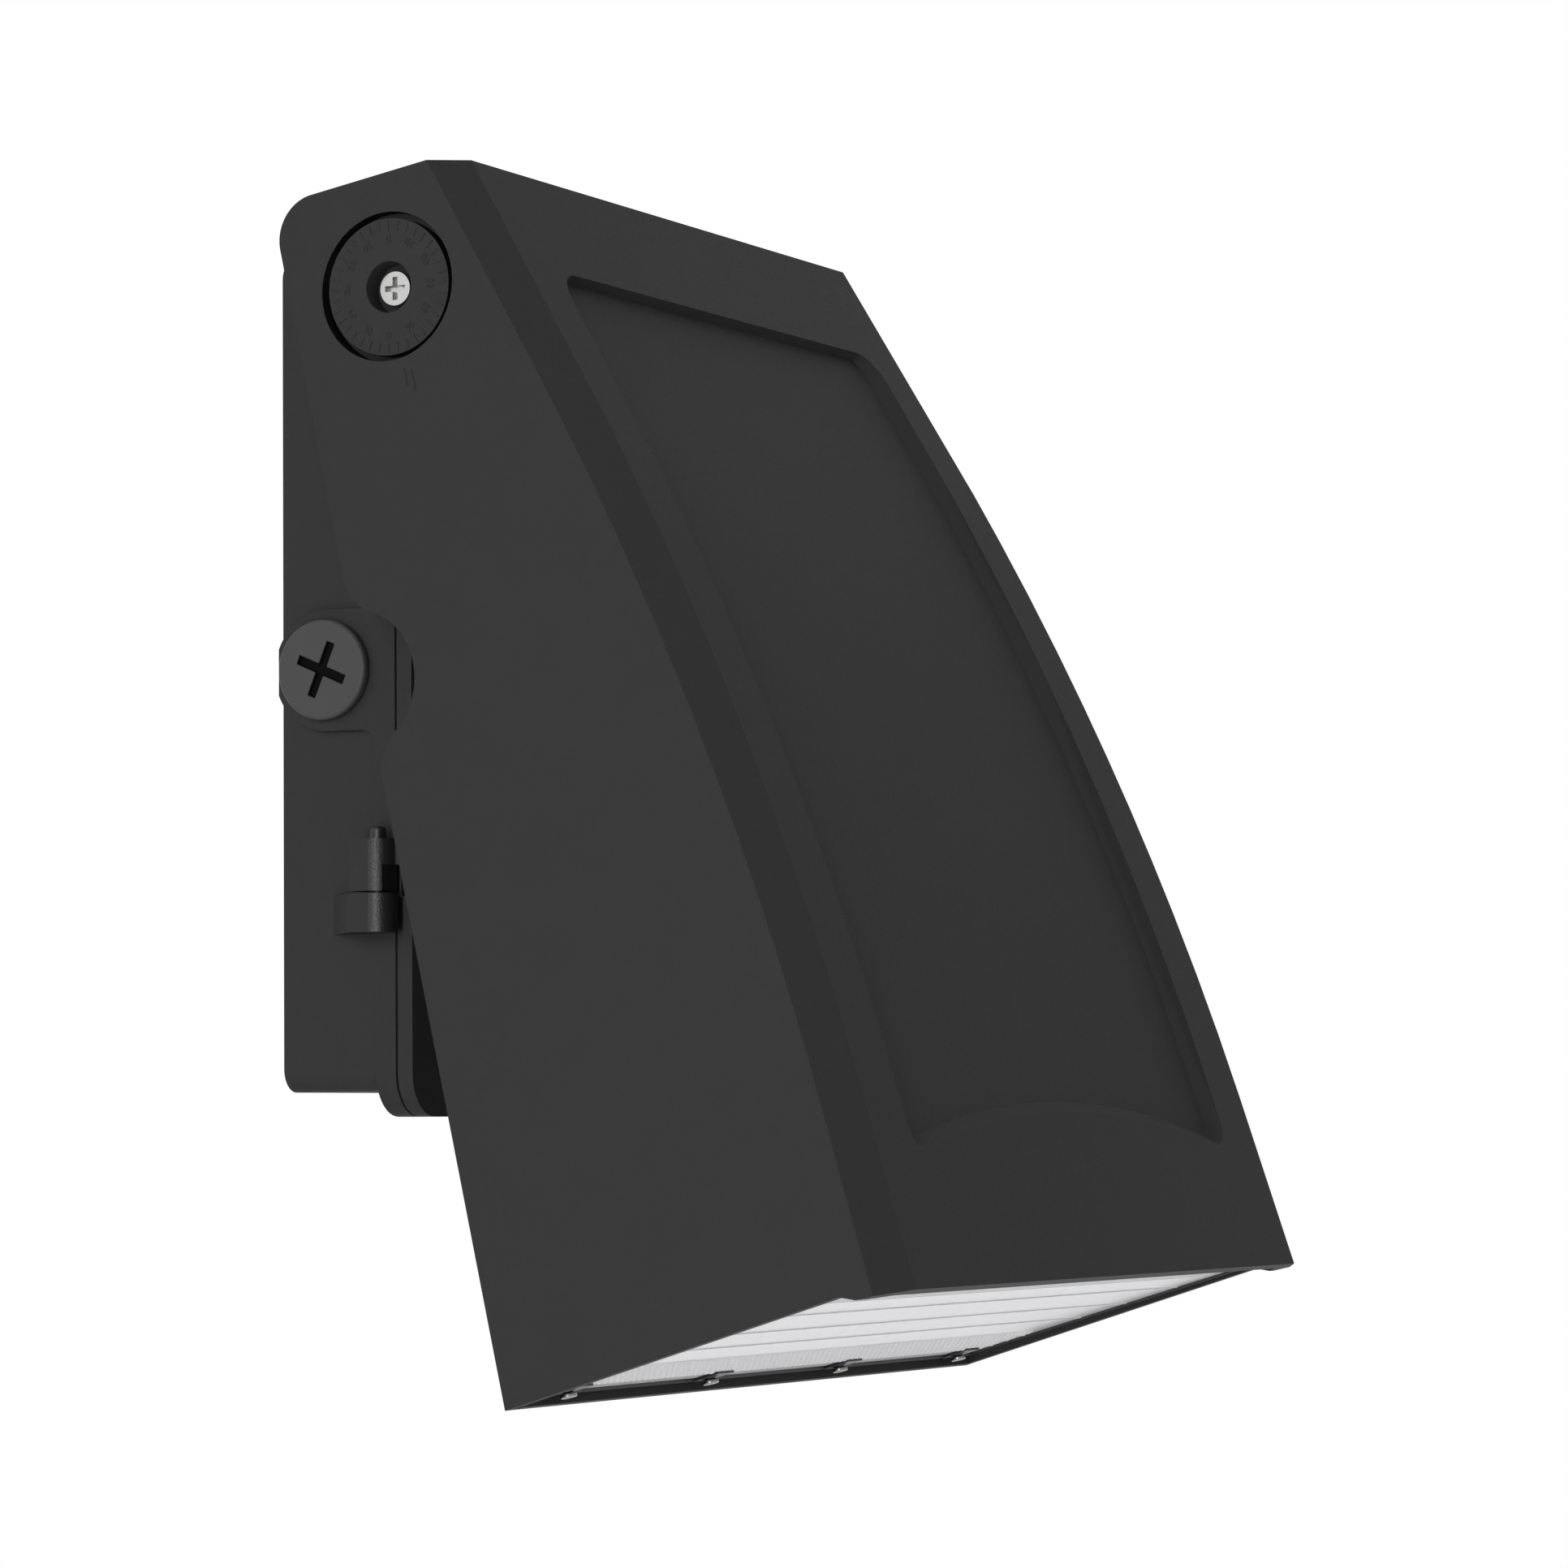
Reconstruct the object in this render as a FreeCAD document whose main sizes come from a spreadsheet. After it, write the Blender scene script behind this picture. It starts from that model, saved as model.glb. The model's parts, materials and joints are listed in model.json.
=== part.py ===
import FreeCAD, Part
import Sketcher
import math
import os
import types

# A wall pack light: a cast wall box, a door hinged on its left side, and a lamp head that tilts on the door.
# The origin lies on the wall, level with the side conduit holes. +Z is up and -Y points away from the wall.
# "Forward" means the distance in front of the wall, along -Y.
# The head's pieces are drawn upright about the tilt axis, and their Placement then tilts them.

SIZES = {
    # Wall box
    "box_width": 190.0,
    "box_height": 215.0,
    "box_corner": 6.0,
    "box_wall": 3.0,
    "flange_back": 28.6,
    "flange_front": 34.4,
    "flange_overhang": 2.2,
    "flange_rise": 6.4,
    "flange_corner": 11.0,
    "wall_hole_across": 150.0,
    "wall_hole_up": 170.0,
    "wall_hole_radius": 3.25,
    "junction_hole_pitch": 88.9,
    "junction_hole_radius": 2.4,
    "cable_hole_up": 45.0,
    "cable_hole_radius": 11.0,
    # Conduit holes and their plugs
    "conduit_forward": 14.4,
    "conduit_boss_radius": 15.6,
    "conduit_boss_proud": 2.2,
    "conduit_boss_depth": 13.0,
    "conduit_boss_fillet": 4.0,
    "conduit_hole_radius": 10.5,
    "plug_head_radius": 12.9,
    "plug_head_thickness": 2.6,
    "plug_shank_length": 10.0,
    "plug_shank_play": 0.1,
    "plug_slot_length": 14.8,
    "plug_slot_width": 2.4,
    "plug_slot_depth": 1.8,
    "plug_slot_turn": 23.0,
    "plug_edge": 0.6,
    "seal_thickness": 0.5,
    "seal_radius": 12.2,
    # Door
    "door_back": 35.0,
    "door_front": 39.3,
    "gasket_edge": 1.4,
    "gasket_width": 2.4,
    "gasket_depth": 2.3,
    "door_screw_inset": 7.0,
    "door_screw_drop": 9.5,
    "door_screw_radius": 1.75,
    "door_screw_play": 0.35,
    "screw_well_play": 0.2,
    "door_screw_reach": 24.0,
    "door_screw_head_radius": 3.6,
    "door_screw_head_height": 2.0,
    "screw_boss_radius": 6.0,
    # Hinges
    "hinge_out": 5.9,
    "hinge_forward": 32.9,
    "hinge_rise": 40.0,
    "knuckle_radius": 5.0,
    "knuckle_tail": 5.5,
    "box_knuckle_height": 9.9,
    "knuckle_gap": 0.5,
    "door_knuckle_height": 13.2,
    "knuckle_arm_height": 6.6,
    "knuckle_pocket": 3.3,
    "knuckle_pocket_across": 1.1,
    "door_knuckle_tail": 1.0,
    "knuckle_arm_step": 0.3,
    "gusset_forward": 15.0,
    "pin_radius": 2.05,
    "pin_play": 0.08,
    "pin_proud": 3.1,
    "pin_edge": 0.5,
    # Tilt axis, its arms and the dials
    "pivot_forward": 45.6,
    "pivot_drop": 20.4,
    "tilt": 13.93,
    "barrel_radius": 19.5,
    "barrel_bore": 13.5,
    "barrel_end": 20.2,
    "arm_radius": 17.0,
    "arm_gap": 3.0,
    "arm_length": 9.3,
    "washer_thickness": 1.0,
    "washer_radius": 16.5,
    "web_thickness": 4.0,
    "web_radius": 22.0,
    "dial_hole_radius": 19.0,
    "dial_radius": 17.35,
    "dial_gap": 0.2,
    "dial_thickness": 3.9,
    "spigot_radius": 8.95,
    "spigot_play": 0.05,
    "dial_sink_radius": 6.45,
    "dial_sink_depth": 6.2,
    "pivot_screw_radius": 2.5,
    "pivot_screw_head_radius": 4.3,
    "pivot_screw_head_height": 3.0,
    "pivot_screw_length": 20.0,
    "pivot_slot_length": 5.8,
    "pivot_slot_width": 1.4,
    "pivot_slot_turn": 0.0,
    # Head casting
    "head_spread": 15.2,
    "head_top": 30.0,
    "head_bottom": -280.2,
    "head_back": 28.0,
    "back_corner": 11.0,
    "front_top_forward": 24.4,
    "front_top_up": 27.3,
    "knee_forward": 41.7,
    "knee_up": -30.4,
    "front_radius": 900.0,
    "shin_forward": 77.7,
    "shin_up": -228.9,
    "toe_forward": 80.8,
    "toe_up": -276.7,
    "lip_forward": 70.0,
    "lip_rise": 0.3,
    "rim_end_forward": 66.0,
    "rim_end_up": -274.7,
    "side_wall": 3.5,
    "front_wall": 5.8,
    "bevel_across": 11.5,
    "bevel_back": 6.0,
    "inner_bevel_across": 8.0,
    "inner_bevel_back": 4.0,
    "notch_forward": -31.4,
    "notch_drop": 1.1,
    "notch_radius": 18.2,
    "swing_clearance": 0.5,
    "relief_low": 12.0,
    "recess_depth": 3.0,
    "recess_side_top": 26.0,
    "recess_side_bottom": 33.7,
    "recess_top": -3.0,
    "recess_bottom": -242.5,
    "recess_corner": 10.0,
    "recess_foot_corner": 6.5,
    "recess_foot_radius": 455.0,
    # Rear housing of the head
    "housing_top": -22.0,
    "housing_wall": 3.0,
    "housing_back": 4.0,
    "chamber_top": -214.0,
    "housing_play": 0.2,
    "housing_screw_inset": 13.0,
    "housing_screw_top": -70.0,
    "housing_screw_bottom": -190.0,
    "housing_screw_radius": 1.75,
    "housing_screw_length": 14.0,
    "housing_boss_radius": 5.0,
    "screw_head_radius": 3.6,
    "screw_head_height": 2.4,
    "inner_seal_width": 4.0,
    "inner_seal_thickness": 2.0,
    "inner_seal_end": 24.0,
    # Glands
    "gland_radius": 6.0,
    "gland_bore": 3.5,
    "gland_lip": 0.8,
    "gland_lip_height": 0.7,
    "head_gland_forward": 15.0,
    # Lens and its frame
    "lens_rear_up": -277.6,
    "lens_slope": 0.045,
    "lens_thickness": 4.0,
    "lens_gasket_thickness": 1.5,
    "lens_ledge": 7.5,
    "frame_thickness": 3.0,
    "frame_skirt": 0.6,
    "frame_edge": 2.0,
    "clip_pitch": 75.6,
    "clip_width": 9.0,
    "clip_thickness": 0.8,
    "clip_reach": 8.0,
    "clip_screw_inset": 2.05,
    "clip_screw_radius": 1.25,
    "clip_screw_head_radius": 2.1,
    "clip_screw_head_height": 1.2,
    # Light source and driver
    "tray_inset": 10.2,
    "tray_rear": -20.0,
    "tray_front": 68.5,
    "tray_sheet": 1.2,
    "spreader_inset": 5.0,
    "spreader_thickness": 4.0,
    "board_half": 95.0,
    "board_rear": 4.0,
    "board_front": 44.0,
    "board_thickness": 1.6,
    "chip_side": 3.5,
    "chip_height": 1.0,
    "chip_pitch_across": 24.0,
    "chip_pitch_forward": 12.0,
    "driver_half": 68.0,
    "driver_top": -80.0,
    "driver_height": 56.0,
    "driver_depth": 26.0,
    "driver_stand_off": 4.5,
    "driver_ear": 10.0,
    "driver_ear_thickness": 1.5,
    "driver_ear_drop": 10.0,
    "driver_boss_radius": 4.0,
    # Wiring pieces in the wall box
    "terminal_length": 60.0,
    "terminal_height": 20.0,
    "terminal_depth": 18.0,
    "terminal_up": -50.0,
    "terminal_screw_radius": 2.6,
    "terminal_screw_sink": 1.2,
    "terminal_slot_width": 0.8,
    "terminal_pitch": 9.5,
    "ground_across": 60.0,
    "ground_boss_height": 6.0,
}

CHIP_COLUMNS = 8
CHIP_ROWS = 3
TERMINAL_SCREWS = 6
CLIPS = 4

# How far the cutting shapes reach, in mm: out of the lamp, of a part, of a bore or of a wall.
OUT = 480.0
PART_OUT = 120.0
BORE_OUT = 48.0
WALL_OUT = 12.0
PAST = 1.0

# The notch's arc ends this far round from its middle, where the blends to the back take over.
NOTCH_ANGLE = math.radians(60)

# Where a bevel is probed, as shares of its two legs, and the tolerance of the probe in mm.
PROBE_ACROSS = 0.75
PROBE_BACK = 0.1
PROBE_TOLERANCE = 0.01

V = FreeCAD.Vector
SIDES = {"left": -1, "right": 1}
TURNS = {
    "x": FreeCAD.Rotation(V(0, 1, 0), 90),
    "y": FreeCAD.Rotation(V(1, 0, 0), -90),
    "z": FreeCAD.Rotation(),
}


class Size:
    """A length: the formula that the document keeps, and its value in millimetres."""

    def __init__(self, formula, value):
        self.formula = formula
        self.value = value

    def __add__(self, other):
        other = as_size(other)
        return Size(f"({self.formula} + {other.formula})", self.value + other.value)

    def __sub__(self, other):
        other = as_size(other)
        return Size(f"({self.formula} - {other.formula})", self.value - other.value)

    def __mul__(self, other):
        other = as_size(other)
        return Size(f"({self.formula} * {other.formula})", self.value * other.value)

    def __truediv__(self, other):
        other = as_size(other)
        return Size(f"({self.formula} / {other.formula})", self.value / other.value)

    def __neg__(self):
        return Size(f"(0 - {self.formula})", -self.value)

    def __radd__(self, other):
        return as_size(other) + self

    def __rsub__(self, other):
        return as_size(other) - self

    def __rmul__(self, other):
        return as_size(other) * self


def as_size(value):
    return value if isinstance(value, Size) else Size(f"({value})", float(value))


doc = FreeCAD.newDocument("WallPackLight")
sheet = doc.addObject("Spreadsheet::Sheet", "Sizes")
for row, (alias, number) in enumerate(SIZES.items(), start=1):
    sheet.set(f"A{row}", alias)
    sheet.set(f"B{row}", str(number))
    sheet.setAlias(f"B{row}", alias)
doc.recompute()
size = types.SimpleNamespace(**{name: Size(f"Sizes.{name}", sheet.get(name)) for name in SIZES})
nodes = []

# Sizes that follow from the others. The head's half widths are those of its outer faces.
size.flange_width = size.box_width + size.flange_overhang * 2
size.flange_height = size.box_height + size.flange_rise * 2
size.conduit_boss_face = size.box_width / 2 + size.conduit_boss_proud
size.door_screw_across = size.box_width / 2 - size.door_screw_inset
size.door_screw_up = size.box_height / 2 - size.door_screw_drop
size.hinge_across = size.flange_width / 2 + size.hinge_out
size.hinge_low = size.hinge_rise - size.box_height / 2
size.hinge_pitch = size.box_height / 2
size.pivot_up = size.flange_height / 2 - size.pivot_drop
size.notch_up = -size.pivot_up - size.notch_drop
size.arm_start = size.flange_width / 2 + size.arm_gap
size.arm_face = size.arm_start + size.arm_length
size.barrel_bore_half = size.arm_start - size.barrel_end
size.web_face = size.arm_face + size.washer_thickness + size.web_thickness
size.head_half_top = size.web_face + size.side_wall
size.head_half_bottom = size.head_half_top + size.head_spread
size.recess_half_top = size.head_half_top - size.recess_side_top
size.recess_half_bottom = size.head_half_bottom - size.recess_side_bottom
size.housing_screw_across = size.head_half_top - size.housing_screw_inset
size.tray_half = size.head_half_bottom - size.tray_inset
size.spreader_half = size.tray_half - size.spreader_inset


# Shapes --------------------------------------------------------------------------------------------------


def bind(thing, **formulas):
    """Ties properties of a document object to the sheet."""
    for name, value in formulas.items():
        thing.setExpression(name, as_size(value).formula)


def place(thing, spot):
    for axis, value in zip("xyz", spot):
        thing.setExpression(f"Placement.Base.{axis}", as_size(value).formula)


def box(x, y, z):
    """A block between three pairs of faces, each given as (low, high)."""
    block = doc.addObject("Part::Box", "Block")
    spans = [as_size(high) - low for low, high in (x, y, z)]
    bind(block, Length=spans[0], Width=spans[1], Height=spans[2])
    place(block, (x[0], y[0], z[0]))
    return block


def cylinder(axis, spot, radius, length):
    """A round bar that starts at spot and runs along +axis."""
    bar = doc.addObject("Part::Cylinder", "Bar")
    bar.Placement = FreeCAD.Placement(V(), TURNS[axis])
    bind(bar, Radius=radius, Height=length)
    place(bar, spot)
    return bar


def cone(axis, spot, start_radius, end_radius, length):
    taper = doc.addObject("Part::Cone", "Taper")
    taper.Placement = FreeCAD.Placement(V(), TURNS[axis])
    bind(taper, Radius1=start_radius, Radius2=end_radius, Height=length)
    place(taper, spot)
    return taper


def fuse(*parts):
    joined = doc.addObject("Part::MultiFuse", "Joined")
    joined.Shapes = list(parts)
    return joined


def cut(base, *tools):
    shaped = doc.addObject("Part::Cut", "Shaped")
    shaped.Base = base
    shaped.Tool = tools[0] if len(tools) == 1 else fuse(*tools)
    return shaped


def common(*parts):
    shared = doc.addObject("Part::MultiCommon", "Shared")
    shared.Shapes = list(parts)
    return shared


def group(parts):
    several = doc.addObject("Part::Compound", "Several")
    several.Links = list(parts)
    return several


def span(side, near, far):
    """The (low, high) pair, along X, of what lies from near to far of the middle on one side."""
    return (near, far) if side > 0 else (-as_size(far), -as_size(near))


def rod(side, near, far, forward, up, radius):
    """A round bar along X on one side of the lamp."""
    low, high = span(side, near, far)
    return cylinder("x", (low, -as_size(forward), up), radius, as_size(high) - low)


def stud(across, up, back, front, radius):
    """A round bar that points away from the wall, between two distances in front of it."""
    return cylinder("y", (across, -as_size(front), up), radius, as_size(front) - back)


def arc_between(start, end, radius, turn):
    """The short arc from start to end, which turns left where turn is 1 and right where it is -1."""
    half = (end - start) / 2
    rise = math.sqrt(max(radius ** 2 - half.Length ** 2, 0.0))
    across = V(-half.y, half.x, 0).normalize()
    centre = (start + end) / 2 + across * (rise * turn)
    first, last = (start, end) if turn > 0 else (end, start)
    angles = [math.atan2((spot - centre).y, (spot - centre).x) for spot in (first, last)]
    return Part.ArcOfCircle(Part.Circle(centre, V(0, 0, 1), radius), *angles)


def outline(body, role, offset, corners):
    """A closed sketch on one of the body's origin planes.

    Each corner is (across, up), or (across, up, radius) where an arc leads on to the next corner. The arc
    bulges out of the outline, or into it where the radius is negative.
    """
    sketch = body.newObject("Sketcher::SketchObject", "Outline")
    plane = [feature for feature in body.Origin.OriginFeatures if feature.Role == role][0]
    sketch.AttachmentSupport = (plane, [""])
    sketch.MapMode = "FlatFace"
    sketch.setExpression("AttachmentOffset.Base.z", as_size(offset).formula)
    spots = [V(as_size(corner[0]).value, as_size(corner[1]).value, 0) for corner in corners]
    pairs = list(zip(spots, spots[1:] + spots[:1]))
    winding = 1 if sum(a.x * b.y - b.x * a.y for a, b in pairs) > 0 else -1
    first_ends = []
    for corner, (start, end) in zip(corners, pairs):
        if len(corner) == 2:
            sketch.addGeometry(Part.LineSegment(start, end))
            first_ends.append(1)
        else:
            radius = as_size(corner[2])
            turn = winding if radius.value > 0 else -winding
            sketch.addGeometry(arc_between(start, end, abs(radius.value), turn))
            first_ends.append(1 if turn > 0 else 2)
    for index, corner in enumerate(corners):
        first = first_ends[index]
        following = (index + 1) % len(corners)
        for kind, value in (("DistanceX", corner[0]), ("DistanceY", corner[1])):
            value = as_size(value)
            rule = Sketcher.Constraint(kind, -1, 1, index, first, value.value)
            sketch.setExpression(f"Constraints[{sketch.addConstraint(rule)}]", value.formula)
        sketch.addConstraint(
            Sketcher.Constraint("Coincident", index, 3 - first, following, first_ends[following])
        )
    for index, corner in enumerate(corners):
        if len(corner) == 3:
            radius = as_size(corner[2])
            radius = radius if radius.value > 0 else -radius
            rule = Sketcher.Constraint("Radius", index, radius.value)
            sketch.setExpression(f"Constraints[{sketch.addConstraint(rule)}]", radius.formula)
    return sketch


def pad(role, corners, start, end):
    """A prism on a closed outline, between two distances along its plane's normal."""
    body = doc.addObject("PartDesign::Body", "Prism")
    sketch = outline(body, role, start, corners)
    feature = body.newObject("PartDesign::Pad", "Pad")
    feature.Profile = sketch
    bind(feature, Length=as_size(end) - start)
    return body


def slab(corners, back, front):
    """A prism whose outline is (across, up), between two distances in front of the wall or tilt axis."""
    return pad("XZ_Plane", corners, back, front)


def rail(corners, low=-OUT, high=OUT):
    """A prism along X whose outline is (forward, up)."""
    return pad("YZ_Plane", [(-as_size(corner[0]), *corner[1:]) for corner in corners], low, high)


def rounded(half_width, half_height, radius):
    """A rectangle about the middle with round corners."""
    side, near_side = as_size(half_width), as_size(half_width) - radius
    top, near_top = as_size(half_height), as_size(half_height) - radius
    return [
        (-near_side, -top), (near_side, -top, radius), (side, -near_top), (side, near_top, radius),
        (near_side, top), (-near_side, top, radius), (-side, near_top), (-side, -near_top, radius),
    ]


def cross_slot(side, face, depth, forward, up, length, width, turn):
    """Two crossed slots sunk into a round head that faces sideways."""
    low, high = span(side, as_size(face) - depth, as_size(face) + depth)
    arms = []
    half_width, half_length = as_size(width) / 2, as_size(length) / 2
    for angle in (turn, as_size(turn) + 90):
        arm = box((low, high), (-half_width, half_width), (-half_length, half_length))
        turned = group([arm])
        turned.Placement = FreeCAD.Placement(V(), FreeCAD.Rotation(V(1, 0, 0), 1))
        turned.setExpression("Placement.Rotation.Angle", as_size(angle).formula)
        place(turned, (0, -as_size(forward), up))
        arms.append(turned)
    return fuse(*arms)


def node(name, thing, tilts=False):
    """Names a finished sub-part, and turns it with the head where it belongs to the head."""
    piece = thing if thing.TypeId not in ("Part::Box", "Part::Cylinder") else group([thing])
    piece.Label = name
    if tilts:
        piece.Placement = FreeCAD.Placement(V(), FreeCAD.Rotation(V(-1, 0, 0), 1))
        piece.setExpression("Placement.Rotation.Angle", size.tilt.formula)
        place(piece, (0, -size.pivot_forward, size.pivot_up))
    nodes.append(piece)


# Wall box ------------------------------------------------------------------------------------------------


def knuckle(low, height, tail_across):
    """The round part of a hinge knuckle, with its flat outer face."""
    across, forward = -size.hinge_across, size.hinge_forward
    barrel = cylinder("z", (across, -forward, low), size.knuckle_radius, height)
    tail = box(
        (across - size.knuckle_radius, across + tail_across),
        (-forward, size.knuckle_tail - forward),
        (low, low + height),
    )
    return fuse(barrel, tail)


def hinge_lows():
    return [size.hinge_low, size.hinge_low + size.hinge_pitch]


def box_knuckles():
    """The fixed knuckles, each on a gusset from the side of the box."""
    parts = []
    side = -size.box_width / 2
    outer = -(size.hinge_across + size.knuckle_radius)
    for low in hinge_lows():
        gusset = pad(
            "XY_Plane",
            [
                (outer, size.knuckle_tail - size.hinge_forward),
                (outer, -size.hinge_forward),
                (side + size.box_wall / 2, -size.hinge_forward),
                (side + size.box_wall / 2, -size.gusset_forward),
                (side, -size.gusset_forward),
            ],
            low,
            low + size.box_knuckle_height,
        )
        parts += [knuckle(low, size.box_knuckle_height, size.knuckle_radius), gusset]
    return parts


def pin_bores(play):
    bores = []
    for low in hinge_lows():
        spot = (-size.hinge_across, -size.hinge_forward, low - PAST)
        bores.append(cylinder("z", spot, size.pin_radius + play, BORE_OUT))
    return bores


def boss_bridge(side):
    """What joins a conduit boss to the flange: a block as high as the boss, with a fillet above and below."""
    across = span(side, (size.box_width - size.box_wall) / 2, size.conduit_boss_face)
    edge, fillet, flange = size.conduit_boss_radius, size.conduit_boss_fillet, size.flange_back
    parts = [box(across, (-flange - PAST, -size.conduit_forward), (-edge, edge))]
    for low, centre in ((edge, edge + fillet), (-edge - fillet, -edge - fillet)):
        corner = box(across, (-flange - PAST, fillet - flange), (low, low + fillet))
        near = size.box_width / 2 - size.box_wall
        hollow = rod(side, near, size.flange_width, flange - fillet, centre, fillet)
        parts.append(cut(corner, hollow))
    return fuse(*parts)


def wall_box():
    """The cast box: back, four walls, front flange, side bosses, screw bosses and hinge knuckles."""
    half_width, half_height = size.box_width / 2, size.box_height / 2
    wall = size.box_wall
    shell = [
        slab(rounded(half_width, half_height, size.box_corner), 0, size.flange_back),
        slab(
            rounded(size.flange_width / 2, size.flange_height / 2, size.flange_corner),
            size.flange_back,
            size.flange_front,
        ),
    ]
    cavity = slab(
        rounded(half_width - wall, half_height - wall, size.box_corner - wall), wall, size.flange_front + 1
    )
    bosses = []
    holes = []
    for side in SIDES.values():
        face = size.conduit_boss_face
        near = face - size.conduit_boss_depth
        bosses.append(rod(side, near, face, size.conduit_forward, 0, size.conduit_boss_radius))
        holes.append(rod(side, near - PAST, face + PAST, size.conduit_forward, 0, size.conduit_hole_radius))
        bosses.append(boss_bridge(side))
    for up in (-size.door_screw_up, size.door_screw_up):
        bosses.append(stud(size.door_screw_across, up, wall / 2, size.flange_front, size.screw_boss_radius))
        radius = size.door_screw_radius + size.door_screw_play
        holes.append(stud(size.door_screw_across, up, size.door_screw_reach - PAST, size.door_front, radius))
    ground_top = wall + size.ground_boss_height
    bosses.append(stud(size.ground_across, size.terminal_up, wall / 2, ground_top, size.knuckle_radius))
    holes.append(stud(size.ground_across, size.terminal_up, wall, ground_top + PAST, size.clip_screw_radius))
    for across in (-size.wall_hole_across / 2, size.wall_hole_across / 2):
        for up in (-size.wall_hole_up / 2, size.wall_hole_up / 2):
            holes.append(stud(across, up, -PAST, wall + PAST, size.wall_hole_radius))
    for across in (-size.junction_hole_pitch / 2, size.junction_hole_pitch / 2):
        holes.append(stud(across, 0, -1, wall + PAST, size.junction_hole_radius))
    holes.append(stud(0, size.cable_hole_up, -PAST, wall + PAST, size.cable_hole_radius))
    groove = gasket_ring(size.flange_front - size.gasket_depth, size.flange_front + PAST)
    behind_wall = box((-OUT, OUT), (0, OUT), (-OUT, OUT))
    casting = cut(fuse(*shell), cavity)
    casting = fuse(casting, *bosses, *box_knuckles())
    node("wall_box", cut(casting, *holes, groove, *pin_bores(0), behind_wall))


def gasket_ring(back, front):
    """A ring that follows the flange, a little inside its edge."""
    rings = []
    for inset in (size.gasket_edge, size.gasket_edge + size.gasket_width):
        rings.append(
            slab(
                rounded(
                    size.flange_width / 2 - inset, size.flange_height / 2 - inset, size.flange_corner - inset
                ),
                back,
                front,
            )
        )
    return cut(*rings)


def conduit_plug(name, side):
    """A threaded plug with a cross slot, screwed into a side conduit hole."""
    seat = size.conduit_boss_face + size.seal_thickness
    face = seat + size.plug_head_thickness
    forward = size.conduit_forward
    low, high = span(side, seat, face - size.plug_edge)
    edge_low, edge_high = span(side, face - size.plug_edge, face)
    radius, rim = size.plug_head_radius, size.plug_head_radius - size.plug_edge
    head = cylinder("x", (low, -forward, 0), radius, high - low)
    edge = cone(
        "x",
        (edge_low, -forward, 0),
        radius if side > 0 else rim,
        rim if side > 0 else radius,
        edge_high - edge_low,
    )
    shank_radius = size.conduit_hole_radius - size.plug_shank_play
    shank = rod(side, seat - size.plug_shank_length, seat, forward, 0, shank_radius)
    slots = cross_slot(
        side,
        face,
        size.plug_slot_depth,
        forward,
        0,
        size.plug_slot_length,
        size.plug_slot_width,
        size.plug_slot_turn,
    )
    node(name, cut(fuse(head, edge, shank), slots))


def plug_seals():
    rings = []
    for side in SIDES.values():
        near, far = size.conduit_boss_face, size.conduit_boss_face + size.seal_thickness
        ring = rod(side, near, far, size.conduit_forward, 0, size.seal_radius)
        hole = rod(side, near - PAST, far + PAST, size.conduit_forward, 0, size.conduit_hole_radius)
        rings.append(cut(ring, hole))
    node("plug_seals", group(rings))


def hinge_pins():
    """Pins pressed into the fixed knuckles; the door lifts off over their round tops."""
    pins = []
    for low in hinge_lows():
        knuckles = size.box_knuckle_height + size.knuckle_gap + size.door_knuckle_height
        length = knuckles + size.pin_proud - size.pin_edge
        spot = (-size.hinge_across, -size.hinge_forward, low)
        shaft = cylinder("z", spot, size.pin_radius, length)
        top = (spot[0], spot[1], low + length)
        edge = cone("z", top, size.pin_radius, size.pin_radius - size.pin_edge, size.pin_edge)
        pins.append(fuse(shaft, edge))
    node("hinge_pins", group(pins))


def terminal_block():
    """A six-way terminal block on the back of the box, and its screws."""
    back, front = size.box_wall, size.box_wall + size.terminal_depth
    half = size.terminal_length / 2
    low, high = size.terminal_up - size.terminal_height / 2, size.terminal_up + size.terminal_height / 2
    body = box((-half, half), (-front, -back), (low, high))
    screw_radius, slot_half = size.terminal_screw_radius, size.terminal_slot_width / 2
    screw_top = front - size.terminal_screw_sink
    floor = screw_top - size.screw_head_height
    wells = []
    screws = []
    for index in range(TERMINAL_SCREWS):
        across = size.terminal_pitch * (index - (TERMINAL_SCREWS - 1) / 2)
        wells.append(stud(across, size.terminal_up, floor, front + PAST, screw_radius + size.screw_well_play))
        screw = stud(across, size.terminal_up, floor, screw_top, screw_radius)
        slot = box(
            (across - screw_radius, across + screw_radius),
            (-front, size.terminal_screw_sink / 2 - screw_top),
            (size.terminal_up - slot_half, size.terminal_up + slot_half),
        )
        screws.append(cut(screw, slot))
    node("terminal_block", cut(body, *wells))
    node("terminal_screws", group(screws))


def ground_screw():
    face = size.box_wall + size.ground_boss_height
    head = stud(
        size.ground_across, size.terminal_up, face, face + size.screw_head_height, size.screw_head_radius
    )
    shank = stud(size.ground_across, size.terminal_up, size.box_wall, face, size.clip_screw_radius)
    node("ground_screw", fuse(head, shank))


# Door and tilt axis --------------------------------------------------------------------------------------


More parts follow.
